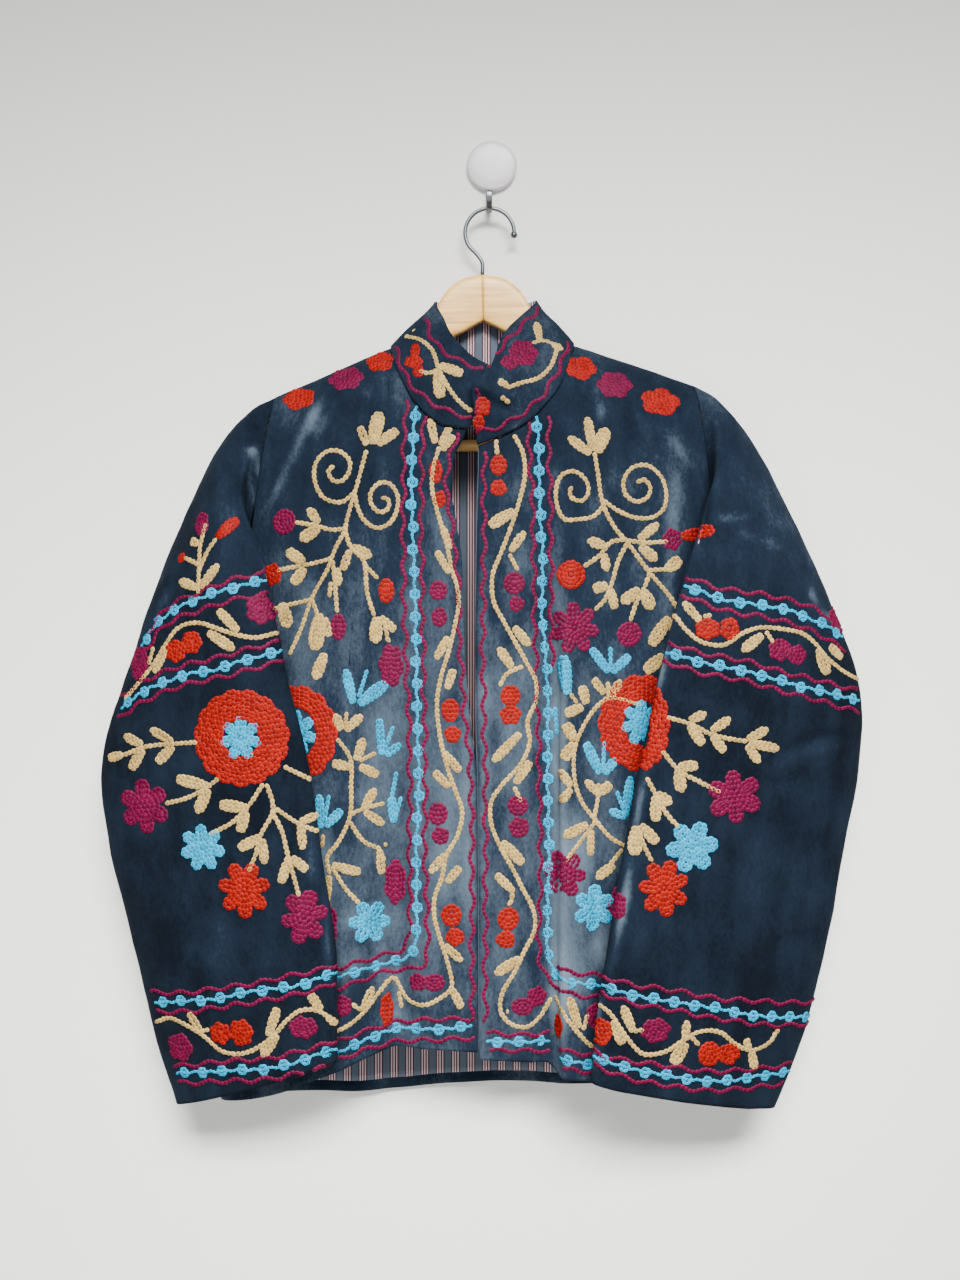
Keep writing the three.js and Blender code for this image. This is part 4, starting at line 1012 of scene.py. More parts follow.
def wavy(points, swing, length):
    """A line that waves about a path."""
    line = evened(points, 1.5)
    run = np.gradient(line, axis=0)
    run /= np.linalg.norm(run, axis=1, keepdims=True)
    place = 1.5 * np.arange(len(line))
    side = np.stack([-run[:, 1], run[:, 0]], -1)
    wave = np.sin(2 * math.pi * place / length) + 0.25 * np.sin(2 * math.pi * place / (2.7 * length) + 1)
    return line + side * (swing * wave)[:, None]


def leaf_loops(x0, z0, x1, z1, width, row):
    """A leaf or petal from root to tip, filled with rows that follow its outline."""
    root, tip = np.array([x0, z0], float), np.array([x1, z1], float)
    length = np.linalg.norm(tip - root)
    ahead = (tip - root) / length
    side = np.array([-ahead[1], ahead[0]])
    loops = []
    inset = row / 2
    while width / 2 - inset > 0.3 * row and length / 2 - inset > 0.3 * row:
        turn = np.linspace(0, 2 * math.pi, 25)[:-1]
        along = (1 - np.cos(turn)) / 2
        broad = (0.72 + 0.38 * along) * np.sign(np.sin(turn)) * np.abs(np.sin(turn)) ** 0.75
        loops.append(root + np.outer(inset + (length - 2 * inset) * along, ahead)
                     + np.outer((width / 2 - inset) * broad, side))
        inset += 0.8 * row
    if not loops or width / 2 - inset > -0.25 * row:
        loops.append(np.array([root + ahead * row, tip - ahead * row]))
    return loops


def petal_ring(x, z, across, up, petals, start, stop, row, turn):
    """Petals side by side round a ring, from one share of the flower's size to another, each filled."""
    loops = []
    for angle in turn + 2 * math.pi * np.arange(petals) / petals:
        out = np.array([across / 2 * math.sin(angle), up / 2 * math.cos(angle)])
        width = 2.04 * math.pi * (start + 0.6 * (stop - start)) * np.linalg.norm(out) / petals
        root, tip = np.array([x, z]) + start * out, np.array([x, z]) + stop * out
        loops += leaf_loops(*root, *tip, width, row)
    return loops


def ringed(x, z, across, up, petals, row, inner):
    """Scalloped rows round a free middle, the scallops of each row between those of the last."""
    loops = []
    round_it = np.linspace(0, 2 * math.pi, 10 * petals + 1)[:-1]
    inset, shift = row / 2, 0.0
    while across / 2 - inset > inner / 2 + 0.3 * row:
        scallop = np.abs(np.sin(petals * round_it / 2 + shift)) ** 0.7
        swing = row * (0.75 if inset < row else 0.35)
        wide, tall = (half - inset - swing * (1 - scallop) for half in (across / 2, up / 2))
        loops.append(np.stack([x + wide * np.sin(round_it), z + tall * np.cos(round_it)], -1))
        inset += 0.76 * row
        shift += 1.3
    return loops


def flower_loops(x, z, across, up, petals, row, turn=0.0):
    """A large flower has separate petals; a small one is rows one inside another with a scalloped edge."""
    small = min(across, up) < 27
    loops = [] if small else petal_ring(x, z, across, up, petals, 0.06, 1.04, row, turn)
    round_it = np.linspace(0, 2 * math.pi, 8 * petals + 1)[:-1]
    notch = 0.3 if petals < 8 else 0.1
    half, long = (min(across, up) / 2, max(across, up) / 2) if small else (0.0, 0.0)
    inset = row / 2
    while half - inset > 0.3 * row:
        fade = 1 - 0.75 * min(1, inset / half)
        lobes = 1 - notch * fade * (1 - np.abs(np.cos(petals * (round_it - turn) / 2)) ** 0.8)
        wide, tall = (half, long) if across < up else (long, half)
        loops.append(np.stack([x + (wide - inset) * lobes * np.sin(round_it),
                               z + (tall - inset) * lobes * np.cos(round_it)], -1))
        inset += 0.78 * row
    reach = max(long - inset, 0.4 * row)
    ends = np.array([(0, -reach), (0, reach)] if up > across else [(-reach, 0), (reach, 0)])
    loops.append(ends + np.array([x, z]))
    return loops


def design_rows(design, row):
    """Every row of a design as (thread, row width, closed, points): waves first, then the fillings."""
    rows = []
    for path in design.get("waves", []):
        rows.append(("magenta", 0.84 * row, False, wavy(path, WAVE_SWING, WAVE_LENGTH)))
    for path in design.get("stems", []):
        rows.append(("cream", row, False, path))
    for thread, motifs in (("cream", "leaves"), ("cyan", "petals")):
        for leaf in design.get(motifs, []):
            loops = leaf_loops(*leaf, row)
            rows += [(thread, row, len(loop) > 2, loop) for loop in loops]
    for x0, z0, x1, z1, width, thread in design.get("buds", []):
        rows += [(thread, row, len(loop) > 2, loop) for loop in leaf_loops(x0, z0, x1, z1, width, row)]
    for number, (x, z, across, up, petals, thread) in enumerate(design.get("flowers", [])):
        rows += [(thread, row, len(loop) > 2, loop)
                 for loop in flower_loops(x, z, across, up, petals, row, turn=0.5 * number)]
    for x, z, across, up, petals, thread, *middle, middle_thread in design.get("blooms", []):
        rows += [(thread, row, True, loop) for loop in ringed(x, z, across, up, petals, row, middle[0] - 4)]
        rows += [(middle_thread, row, len(loop) > 2, loop) for loop in flower_loops(x, z, *middle, row)]
    return rows


# ---------------- sewing the rows onto a panel

def outer_face(name):
    """What the stitches of a panel are laid on."""
    mesh = bpy.data.objects[name + "_cloth"].data
    return BVHTree.FromPolygons([v.co for v in mesh.vertices], [p.vertices for p in mesh.polygons])


def on_panel(face, line, behind, middle_y):
    """Where a line of x, z lies on a panel, seen from in front or behind: runs of points and normals."""
    start_y, way = (0.5, -1) if behind else (-0.9, 1)
    runs, points, normals = [], [], []
    for x, z in line * MM:
        spot, normal, _, _ = face.ray_cast(Vector((x, start_y, z)), Vector((0, way, 0)))
        if spot is None or normal.y * way > -0.1:
            spot, normal, _, far = face.find_nearest(Vector((x, middle_y * MM, z)))
            if middle_y == 0 or far > 0.004:
                spot = None
        if spot is None or (points and (spot - points[-1]).length > 0.012):
            if len(points) > 1:
                runs.append((np.array(points), np.array(normals)))
            points, normals = [], []
        if spot is not None:
            points.append(spot)
            normals.append(normal)
    if len(points) > 1:
        runs.append((np.array(points), np.array(normals)))
    return runs


def unit(vectors):
    return vectors / np.maximum(np.linalg.norm(vectors, axis=-1, keepdims=True), 1e-9)


def spaced(run, pitch, whole):
    """Centre, direction and normal of each stitch along a run."""
    points, normals = run
    if whole:
        points, normals = np.vstack([points, points[:1]]), np.vstack([normals, normals[:1]])
    length = np.concatenate([[0], np.cumsum(np.linalg.norm(np.diff(points, axis=0), axis=1))])
    count = max(1, round(length[-1] / pitch))
    read = lambda values, at: np.stack([np.interp(at, length, values[:, k]) for k in range(3)], -1)
    at = (np.arange(count) + 0.5) * length[-1] / count
    centre = read(points, at)
    ahead = read(points, np.minimum(at + pitch / 2, length[-1])) - read(points, np.maximum(at - pitch / 2, 0))
    normal = unit(sum(read(normals, np.clip(at + shift, 0, length[-1])) for shift in (-pitch, 0, pitch)))
    ahead = unit(ahead - normal * (ahead * normal).sum(1, keepdims=True))
    size = np.full(count, length[-1] / count)
    return centre, ahead, normal, size


# One chain stitch: a link with a ring of foot points, a ring of crest points and a sunken middle.
LINK_SIDES = 8
LINK_POINTS = 2 * LINK_SIDES + 1
LINK_TURNS = np.linspace(0, 2 * math.pi, LINK_SIDES + 1)[:-1]
LINK_RING = np.stack([0.72 * np.cos(LINK_TURNS), np.sin(LINK_TURNS) * (0.56 - 0.1 * np.cos(LINK_TURNS))], -1)
LINK_CREST = 0.64
# at the foot, the crest and the middle: the height as a share of a stitch's, and the painted shade
LINK_LIFTS = (-0.35, 1.0, 0.05)
# painted shade: darker at the foot, darkest in the sunken middle, where the velvet shows between the strands
# and shade falls
LINK_PAINTED_SHADES = (0.5, 1.02, 0.28)
# how far the waves and the bead rows swing and how long a swing is, and how far apart the beads are
WAVE_SWING, WAVE_LENGTH = 1.7, 24
BEAD_SWING, BEAD_LENGTH = 0.7, 13
BEAD_SPACING = 0.019
DOT_STITCHES = 6
DOT_RISE = 0.0003
ROW_STEP = 1.2


def per_link(foot, crest, middle):
    """One value for each point of a link."""
    return np.concatenate([np.full(LINK_SIDES, foot), np.full(LINK_SIDES, crest), [middle]])


def sew(name, thread, stitches, height, material):
    """All the stitches of one thread on one panel, as one piece."""
    centre, ahead, normal, size, width = (np.concatenate(part) for part in zip(*stitches))
    chance = np.random.default_rng(len(centre))
    # a hand never sets two stitches quite the same way
    lean = chance.normal(0, 0.17, (len(centre), 1))
    ahead = ahead * np.cos(lean) + np.cross(normal, ahead) * np.sin(lean)
    side = np.cross(normal, ahead)
    spots = np.vstack([LINK_RING, LINK_RING * LINK_CREST, [[0, 0]]])
    lift = per_link(*LINK_LIFTS)
    tall = height * (width / width.max()) ** 0.5 * chance.uniform(0.75, 1.15, len(centre))
    wide = width * chance.uniform(0.92, 1.1, len(centre))
    points = (centre[:, None] + ahead[:, None] * (spots[None, :, :1] * size[:, None, None])
              + side[:, None] * (spots[None, :, 1:] * wide[:, None, None])
              + normal[:, None] * (lift[None, :, None] * tall[:, None, None]))
    foot = np.arange(LINK_SIDES)
    following = np.roll(foot, -1)
    sides = np.stack([foot, following, following + LINK_SIDES, foot + LINK_SIDES], -1)
    tops = np.stack([foot + LINK_SIDES, following + LINK_SIDES, np.full(LINK_SIDES, LINK_POINTS - 1)], -1)
    first = LINK_POINTS * np.arange(len(centre))[:, None, None]
    faces = (sides + first).reshape(-1, 4).tolist() + (tops + first).reshape(-1, 3).tolist()
    mesh = bpy.data.meshes.new(name + "_" + thread)
    mesh.from_pydata(points.reshape(-1, 3), [], faces)
    # painted shade at each link's foot and sunken middle, times a random tone for each stitch
    shade = np.tile(per_link(*LINK_PAINTED_SHADES), len(centre))
    shade *= np.repeat(chance.uniform(0.74, 1.14, len(centre)), LINK_POINTS)
    mesh.attributes.new("shade", "FLOAT", "POINT").data.foreach_set("value", shade)
    mesh.materials.append(material)
    mesh.shade_smooth()
    piece = new_object(name + "_" + thread + "_stitches", mesh)
    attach(piece, "root")
    return piece


def dots_along(run, spacing, size, row):
    """Sewn dots along a row: each a ring of short stitches round a middle one."""
    length = np.linalg.norm(np.diff(run[0], axis=0), axis=1).cumsum()[-1]
    if length < spacing / 2:
        return []
    rings = []
    centre, ahead, normal, _ = spaced(run, length / max(1, round(length / spacing)), False)
    side = np.cross(normal, ahead)
    radius = (size - row) / 2
    alike = lambda value: np.full(len(centre), value)
    for turn in np.linspace(0, 2 * math.pi, DOT_STITCHES + 1)[:-1]:
        rings.append((centre + radius * (ahead * math.cos(turn) + side * math.sin(turn)),
                      side * math.cos(turn) - ahead * math.sin(turn), normal,
                      alike(2 * math.pi * radius / DOT_STITCHES), alike(row)))
    rings.append((centre + normal * DOT_RISE, ahead, normal, alike(row * 0.8), alike(row)))
    return rings


# ---------------- materials

def linear(colour):
    """Linear colour from an sRGB hex code."""
    parts = [int(colour[i:i + 2], 16) / 255 for i in (1, 3, 5)]
    return tuple(c / 12.92 if c <= 0.04045 else ((c + 0.055) / 1.055) ** 2.4 for c in parts) + (1.0,)


def add_node(tree, kind, **settings):
    """A node with its inputs set: a value, or another node's output to link."""
    node = tree.nodes.new(kind)
    for name, value in settings.items():
        if hasattr(node, name):
            setattr(node, name, value)
            continue
        key = int(name[5:]) if name.startswith("input") else name.replace("_", " ")
        socket = node.inputs[key]
        if isinstance(value, bpy.types.NodeSocket):
            tree.links.new(value, socket)
        else:
            socket.default_value = value
    return node


def new_material(name):
    material = bpy.data.materials.new(name)
    material.use_nodes = True
    material.node_tree.nodes.clear()
    return material, material.node_tree


def finish_material(tree, surface):
    add_node(tree, "ShaderNodeOutputMaterial", Surface=surface.outputs[0])


def velvet(colour, shade, pile):
    """Cotton velvet: upright pile that drinks light face on; the pale shine where it is brushed aside and
    catches the light is painted into its colour, over a faint real sheen.
    """
    material, tree = new_material("cotton_velvet")
    place = add_node(tree, "ShaderNodeTexCoord").outputs["Object"]
    nap_and_sheen_level = add_node(tree, "ShaderNodeAttribute", attribute_name="nap").outputs["Fac"]
    # finger-sized patches where the pile has been stroked another way
    strokes = add_node(tree, "ShaderNodeMapping", Vector=place, Scale=(60, 60, 26))
    patches = add_node(tree, "ShaderNodeTexNoise", Vector=strokes.outputs[0], Scale=1.0, Detail=4.0,
                       Roughness=0.6)
    # tufts of pile about a third of a millimetre across
    tufts = add_node(tree, "ShaderNodeTexNoise", Vector=place, Scale=2600.0, Detail=2.0, Roughness=0.7)
    # crushed specks two and a half millimetres across and four long, down the cloth
    crush = add_node(tree, "ShaderNodeMapping", Vector=place, Scale=(420, 420, 230))
    specks = add_node(tree, "ShaderNodeTexNoise", Vector=crush.outputs[0], Scale=1.0, Detail=3.0,
                      Roughness=0.65)
    # each is added about its middle, so that the nap's level holds
    stroked = add_node(tree, "ShaderNodeMath", operation="MULTIPLY_ADD", input0=patches.outputs["Fac"],
                       input1=0.36, input2=-0.36)
    stroked = add_node(tree, "ShaderNodeMath", operation="MULTIPLY_ADD", input0=specks.outputs["Fac"],
                       input1=0.36, input2=stroked.outputs[0])
    speckled = add_node(tree, "ShaderNodeMath", operation="MULTIPLY_ADD", input0=tufts.outputs["Fac"],
                        input1=0.5, input2=-0.25)
    pale = add_node(tree, "ShaderNodeMath", operation="ADD", input0=nap_and_sheen_level, input1=stroked.outputs[0])
    pale = add_node(tree, "ShaderNodeMath", operation="ADD", input0=pale.outputs[0],
                    input1=speckled.outputs[0], use_clamp=True)
    # painted shade and painted sheen: towards the shade colour where the paleness is low, towards the pale
    # pile colour where it is high
    tint = add_node(tree, "ShaderNodeValToRGB", Fac=pale.outputs[0])
    ramp = tint.color_ramp
    ramp.elements[0].color, ramp.elements[1].color = shade, pile
    ramp.elements.new(0.35).color = colour
    bump = add_node(tree, "ShaderNodeBump", Strength=0.35, Distance=0.0004, Height=tufts.outputs["Fac"])
    cloth = add_node(tree, "ShaderNodeBsdfPrincipled", Base_Color=tint.outputs[0], Roughness=0.95,
                     Specular_IOR_Level=0.05, Sheen_Weight=0.1, Sheen_Roughness=0.4, Normal=bump.outputs[0],
                     Sheen_Tint=pile)
    finish_material(tree, cloth)
    return material


def striped_lining(ground, pale, red):
    """Machine-woven lining: slate ground with groups of three thin pale stripes between dark red ones."""
    material, tree = new_material("striped_lining")
    place = add_node(tree, "ShaderNodeTexCoord").outputs["Object"]
    across = add_node(tree, "ShaderNodeSeparateXYZ", Vector=place).outputs[0]
    # a group of stripes every 13.5 mm
    share = add_node(tree, "ShaderNodeMath", operation="MULTIPLY", input0=across, input1=1 / 0.0135)
    share = add_node(tree, "ShaderNodeMath", operation="FRACT", input0=share.outputs[0])
    stripes = add_node(tree, "ShaderNodeValToRGB", Fac=share.outputs[0])
    ramp = stripes.color_ramp
    ramp.interpolation = "CONSTANT"
    ramp.elements[0].color, ramp.elements[1].color = ground, ground
    ramp.elements[1].position = 0.93
    for start, colour in ((0.36, red), (0.44, pale), (0.52, red), (0.6, pale), (0.68, red), (0.77, pale),
                          (0.85, red)):
        ramp.elements.new(start).color = colour
    # a plain weave with its threads about two thirds of a millimetre apart
    weave = add_node(tree, "ShaderNodeTexWave", Vector=place, wave_type="BANDS", bands_direction="Z",
                     Scale=480.0, Distortion=0.6)
    bump = add_node(tree, "ShaderNodeBump", Strength=0.2, Distance=0.0002, Height=weave.outputs["Fac"])
    cloth = add_node(tree, "ShaderNodeBsdfPrincipled", Base_Color=stripes.outputs[0], Roughness=0.75,
                     Specular_IOR_Level=0.25, Sheen_Weight=0.1, Normal=bump.outputs[0])
    finish_material(tree, cloth)
    return material


def silk_thread(name, colour):
    """Twisted silk floss: strong colour, a soft shine along each stitch, and no two stitches quite alike."""
    material, tree = new_material(name)
    shade = add_node(tree, "ShaderNodeAttribute", attribute_name="shade").outputs["Fac"]
    # the stitch's painted shade and its random tone set the value of its colour
    tint = add_node(tree, "ShaderNodeHueSaturation", Color=colour, Value=shade)
    place = add_node(tree, "ShaderNodeTexCoord").outputs["Object"]
    # fibres a fifth of a millimetre across
    fibres = add_node(tree, "ShaderNodeTexNoise", Vector=place, Scale=4200.0, Detail=2.0)
    bump = add_node(tree, "ShaderNodeBump", Strength=0.4, Distance=0.0002, Height=fibres.outputs["Fac"])
    floss = add_node(tree, "ShaderNodeBsdfPrincipled", Base_Color=tint.outputs[0], Roughness=0.55,
                     Specular_IOR_Level=0.12, Normal=bump.outputs[0])
    finish_material(tree, floss)
    return material


def varnished_wood(colour, dark):
    """Pale varnished wood: long grain lines along each piece under a thin satin varnish."""
    material, tree = new_material("varnished_wood")
    place = add_node(tree, "ShaderNodeTexCoord").outputs["Object"]
    # grain lines about four millimetres apart, drawn out along the arm
    stretched = add_node(tree, "ShaderNodeMapping", Vector=place, Scale=(18, 160, 240))
    grain = add_node(tree, "ShaderNodeTexNoise", Vector=stretched.outputs[0], Scale=1.0, Detail=5.0,
                     Distortion=0.4)
    share = add_node(tree, "ShaderNodeMath", operation="MULTIPLY_ADD", input0=grain.outputs["Fac"],
                     input1=2.6, input2=-0.9, use_clamp=True)
    tint = add_node(tree, "ShaderNodeMix", data_type="RGBA", input0=share.outputs[0], input6=colour,
                    input7=dark)
    wood = add_node(tree, "ShaderNodeBsdfPrincipled", Base_Color=tint.outputs[2], Roughness=0.42,
                    Coat_Weight=0.15, Coat_Roughness=0.25)
    finish_material(tree, wood)
    return material


def steel_wire(colour):
    """Zinc-plated steel, drawn into wire and strip: dark grey metal with a faint unevenness."""
    material, tree = new_material("plated_steel")
    place = add_node(tree, "ShaderNodeTexCoord").outputs["Object"]
    # a millimetre across, as coarse as it needs to be to show
    lines = add_node(tree, "ShaderNodeTexNoise", Vector=place, Scale=900.0, Detail=3.0)
    bump = add_node(tree, "ShaderNodeBump", Strength=0.08, Distance=0.0001, Height=lines.outputs["Fac"])
    metal = add_node(tree, "ShaderNodeBsdfPrincipled", Base_Color=colour, Metallic=1.0, Roughness=0.28,
                     Normal=bump.outputs[0])
    finish_material(tree, metal)
    return material


def glossy_plastic(colour):
    """Moulded white plastic with a soft gloss."""
    material, tree = new_material("moulded_plastic")
    place = add_node(tree, "ShaderNodeTexCoord").outputs["Object"]
    # slow moulding unevenness, a centimetre across
    waves = add_node(tree, "ShaderNodeTexNoise", Vector=place, Scale=100.0, Detail=1.0)
    bump = add_node(tree, "ShaderNodeBump", Strength=0.05, Distance=0.0003, Height=waves.outputs["Fac"])
    plastic = add_node(tree, "ShaderNodeBsdfPrincipled", Base_Color=colour, Roughness=0.3,
                       Normal=bump.outputs[0])
    finish_material(tree, plastic)
    return material


def painted_wall(colour):
    """Matt wall paint: pale grey with a faint roller texture."""
    material, tree = new_material("wall_paint")
    place = add_node(tree, "ShaderNodeTexCoord").outputs["Object"]
    # the stipple that a roller leaves, four millimetres across
    roller = add_node(tree, "ShaderNodeTexNoise", Vector=place, Scale=260.0, Detail=3.0)
    bump = add_node(tree, "ShaderNodeBump", Strength=0.06, Distance=0.001, Height=roller.outputs["Fac"])
    paint = add_node(tree, "ShaderNodeBsdfPrincipled", Base_Color=colour, Roughness=0.9,
                     Specular_IOR_Level=0.2, Normal=bump.outputs[0])
    finish_material(tree, paint)
    return material


def finish_for(name, maker, *colours):
    """The named finish, made once and then shared."""
    return bpy.data.materials.get(name) or maker(*colours)


# ---------------- sizes and colours a user may change

def colour_setting(name, description, default):
    return bpy.props.FloatVectorProperty(name=name, description=description, default=linear(default), size=4,
                                         subtype="COLOR", min=0, max=1)


def size_setting(name, description, default):
    return bpy.props.FloatProperty(name=name, description=description, default=default, min=0, unit="LENGTH")


class JacketColours(bpy.types.PropertyGroup):
    """Colours of the jacket and its fittings."""
    velvet: colour_setting("Velvet", "Velvet seen face on", "#141e2b")
    # the velvet's shade and pile colours are the dark and pale ends of its painted shade and painted sheen
    velvet_shade: colour_setting("Velvet shade", "Velvet where the pile drinks the light", "#070c14")
    velvet_sheen: colour_setting("Velvet pile", "Velvet where the pile is brushed aside", "#586673")
    # the lining's colours are partly its own slate and dark red and partly painted shade, darkened for the
    # shaded opening between the fronts
    lining: colour_setting("Lining", "Ground of the lining", "#454f5e")
    lining_stripe: colour_setting("Lining stripe", "Thin pale stripes of the lining", "#b89fa3")
    lining_red: colour_setting("Lining red", "Dark stripes of the lining", "#33161e")
    cream: colour_setting("Cream thread", "Leaves, stems and borders", "#b29558")
    orange: colour_setting("Orange thread", "Large flowers", "#8a0b00")
    magenta: colour_setting("Magenta thread", "Small flowers", "#5e002e")
    cyan: colour_setting("Blue thread", "Petals and flower middles", "#0090b8")
    wood: colour_setting("Wood", "Hanger", "#f2bf66")
    wood_grain: colour_setting("Wood grain", "Grain lines of the hanger", "#bd8336")
    steel: colour_setting("Steel", "Hanger hook and prong", "#606366")
    plastic: colour_setting("Plastic", "Round front of the wall hook", "#cdc8cd")
    wall: colour_setting("Wall", "Wall and floor", "#e6e7e2")


class JacketSizes(bpy.types.PropertyGroup):
    """Sizes of the jacket's cloth and sewing."""
    velvet_thickness: size_setting("Velvet thickness", "Thickness of the velvet, pile included", 0.002)
    lining_thickness: size_setting("Lining thickness", "Thickness of the lining", 0.001)
    stitch_length: size_setting("Stitch length", "Length of one chain stitch", 0.0042)
    stitch_width: size_setting("Stitch width", "Width of a row of chain stitch", 0.004)
    stitch_height: size_setting("Stitch height", "How far a stitch stands off the velvet", 0.0011)
    bead_size: size_setting("Dot size", "Width of a sewn dot of the borders", 0.0098)


# ---------------- what each button builds

class JacketButton(bpy.types.Operator):
    """Shared by every piece's button."""
    bl_options = {"REGISTER", "UNDO"}

    def execute(self, context):
        self.build(context.scene.jacket_colours, context.scene.jacket_sizes)
        return {"FINISHED"}


def velvet_of(colours):
    return finish_for("cotton_velvet", velvet, colours.velvet, colours.velvet_shade, colours.velvet_sheen)


def lining_of(colours):
    return finish_for("striped_lining", striped_lining, colours.lining, colours.lining_stripe,
                      colours.lining_red)


class AddBody(JacketButton):
    """Add the two fronts and the back"""
    bl_idname = "jacket.add_body"
    bl_label = "Fronts and back"

    def build(self, colours, sizes):
        arms = ["hanger_arm_right_finish", "hanger_arm_left_finish"]
        # name, grid lines across and up, whether its faces turn, flat size, area, what it hangs on
        cuts = {
            "right": ("right_front", 84, 210, True, (0.24, 0.66), 0.125, arms[:1]),
            "left": ("left_front", 84, 210, False, (0.24, 0.66), 0.138, arms[1:]),
            "back": ("back", 112, 144, True, (0.47, 0.66), 0.272, arms),
        }
        for kind, (name, across, along, turned, flat, area, rests_on) in cuts.items():
            mesh = grid_mesh(name, across, along, lambda s, t: body_sheet(kind, s, t), turned)
            lay_folds(mesh, name)
            make_cloth(name, mesh, velvet_of(colours), velvet_of(colours), sizes.velvet_thickness)


class AddLinings(JacketButton):
    """Add the striped lining where it shows"""
    bl_idname = "jacket.add_linings"
    bl_label = "Linings"

    def build(self, colours, sizes):
        spread = lambda s, first, last: first + (last - first) * s
        # panel it lines, its start and end across that panel, how far its edge is trimmed, whether its faces
        # turn, grid lines across, flat size, area
        sheets = [
            ("right", 0.0, share_at_top("right", -33), 1.2, True, 12, (0.02, 0.52), 0.009),
            ("left", 0.0, share_at_top("left", 6), -0.8, False, 12, (0.03, 0.52), 0.0115),
            ("back", share_at_top("back", -164), share_at_top("back", 148), 0.0, True, 66, (0.42, 0.68),
             0.25),
        ]
        for kind, first, last, edge_trim, turned, across, flat, area in sheets:
            panel = "back" if kind == "back" else kind + "_front"
            name = panel + "_lining"
            mesh = grid_mesh(name, across, 112, lambda s, t: body_sheet(kind, spread(s, first, last), t,
                                                                        LINING_HEM, edge_trim), turned)
            # the lining has the creases of the velvet that it lies against
            lay_folds(mesh, panel)
            points = corners_of(mesh)
            normals = np.empty(points.size)
            mesh.vertices.foreach_get("normal", normals)
            inset = sizes.velvet_thickness + LINING_GAP * MM
            mesh.vertices.foreach_set("co", (points - normals.reshape(-1, 3) * inset).ravel())
            make_cloth(name, mesh, lining_of(colours), lining_of(colours), sizes.lining_thickness)


class AddSleeves(JacketButton):
    """Add the two sleeves"""
    bl_idname = "jacket.add_sleeves"
    bl_label = "Sleeves"

    def build(self, colours, sizes):
        for side in ("right", "left"):
            name = side + "_sleeve"
            mesh = grid_mesh(name, 110, 156, lambda s, t: sleeve_sheet(side, s, t), turned=side == "right",
                             wrapped=True)
            lay_folds(mesh, name, size=1.8)
            make_cloth(name, mesh, velvet_of(colours), lining_of(colours), sizes.velvet_thickness)


class AddCollar(JacketButton):
    """Add the stand collar"""
    bl_idname = "jacket.add_collar"
    bl_label = "Collar"

    def build(self, colours, sizes):
        mesh = grid_mesh("collar", 160, 28, collar_sheet, turned=True)
        lay_folds(mesh, "collar", size=0.6)
        make_cloth("collar", mesh, velvet_of(colours), lining_of(colours), sizes.velvet_thickness)


def panel_stitches(face, design, sizes, behind, middle_y=0):
    """The stitches of a whole design on one panel, by thread. middle_y is inside a tube, and 0 elsewhere."""
    row = sizes.stitch_width / MM
    stitches = {thread: [] for thread in ("cream", "orange", "magenta", "cyan")}
    for thread, width, closed, points in design_rows(design, row):
        line = evened(points, ROW_STEP, closed)
        for run in on_panel(face, line, behind, middle_y if thread == "magenta" and not closed else 0):
            whole = closed and len(run[0]) >= len(line) - 1
            pitch = sizes.stitch_length * (0.55 + 0.45 * width / row)
            *places, size = spaced(run, pitch, whole)
            stitches[thread].append((*places, size, np.full(len(size), width * MM)))
    for path in design.get("beads", []):
        for run in on_panel(face, evened(wavy(path, BEAD_SWING, BEAD_LENGTH), ROW_STEP), behind, middle_y):
            *places, size = spaced(run, 0.75 * sizes.stitch_length, False)
            stitches["cyan"].append((*places, size, np.full(len(size), 0.66 * sizes.stitch_width)))
            stitches["cyan"] += dots_along(run, BEAD_SPACING, sizes.bead_size, 0.75 * sizes.stitch_width)
    return stitches


class AddEmbroidery(JacketButton):
    """Sew the chain stitch embroidery onto the panels"""
    bl_idname = "jacket.add_embroidery"
    bl_label = "Embroidery"

    def build(self, colours, sizes):
        # panel, its designs, whether each is sewn on the front, on the back or on both, y inside a sleeve
        work = [
            ("right_front", ["right_front"], [False], 0), ("left_front", ["left_front"], [False], 0),
            ("back", ["right_front", "left_front"], [True], 0),
            ("right_sleeve", ["right_sleeve"], [False, True], -55),
            ("left_sleeve", ["left_sleeve"], [False, True], -55), ("collar", ["collar"], [False], 0),
        ]
        for panel, designs, views, middle_y in work:
            face = outer_face(panel)
            done = {}
            for design in designs:
                for behind in views:
                    stitches = panel_stitches(face, DESIGNS[design], sizes, behind, middle_y)
                    for thread, parts in stitches.items():
                        done.setdefault(thread, []).extend(parts)
            for thread, parts in done.items():
                if parts:
                    silk = "silk_" + thread
                    floss = finish_for(silk, silk_thread, silk, getattr(colours, thread))
                    sew(panel, thread, parts, sizes.stitch_height, floss)


def hang(points):
    """Turns points of the level hanger to how it hangs."""
    turn = Matrix.Rotation(HANGER_TILT, 3, "Y")
    rest = np.array([CROOK[0], 0, CROOK[1] + CROOK_RADIUS])
    return (points - rest) @ np.array(turn).T + rest + np.array([HANGER_X, 0, 0])


def squared(wave, power):
    """A wave with flatter tops, which turns a round section into one with soft corners."""
    return np.sign(wave) * np.abs(wave) ** power


def swept(path, s, t):
    """The point of a path at t and its direction there, and the turn round its section at s."""
    shares, places = np.unique(t), np.searchsorted(np.unique(t), t)
    line = curve_through(path, shares)
    run = np.gradient(line, axis=0)
    run /= np.linalg.norm(run, axis=1, keepdims=True)
    return line[places], run[places], 2 * math.pi * s


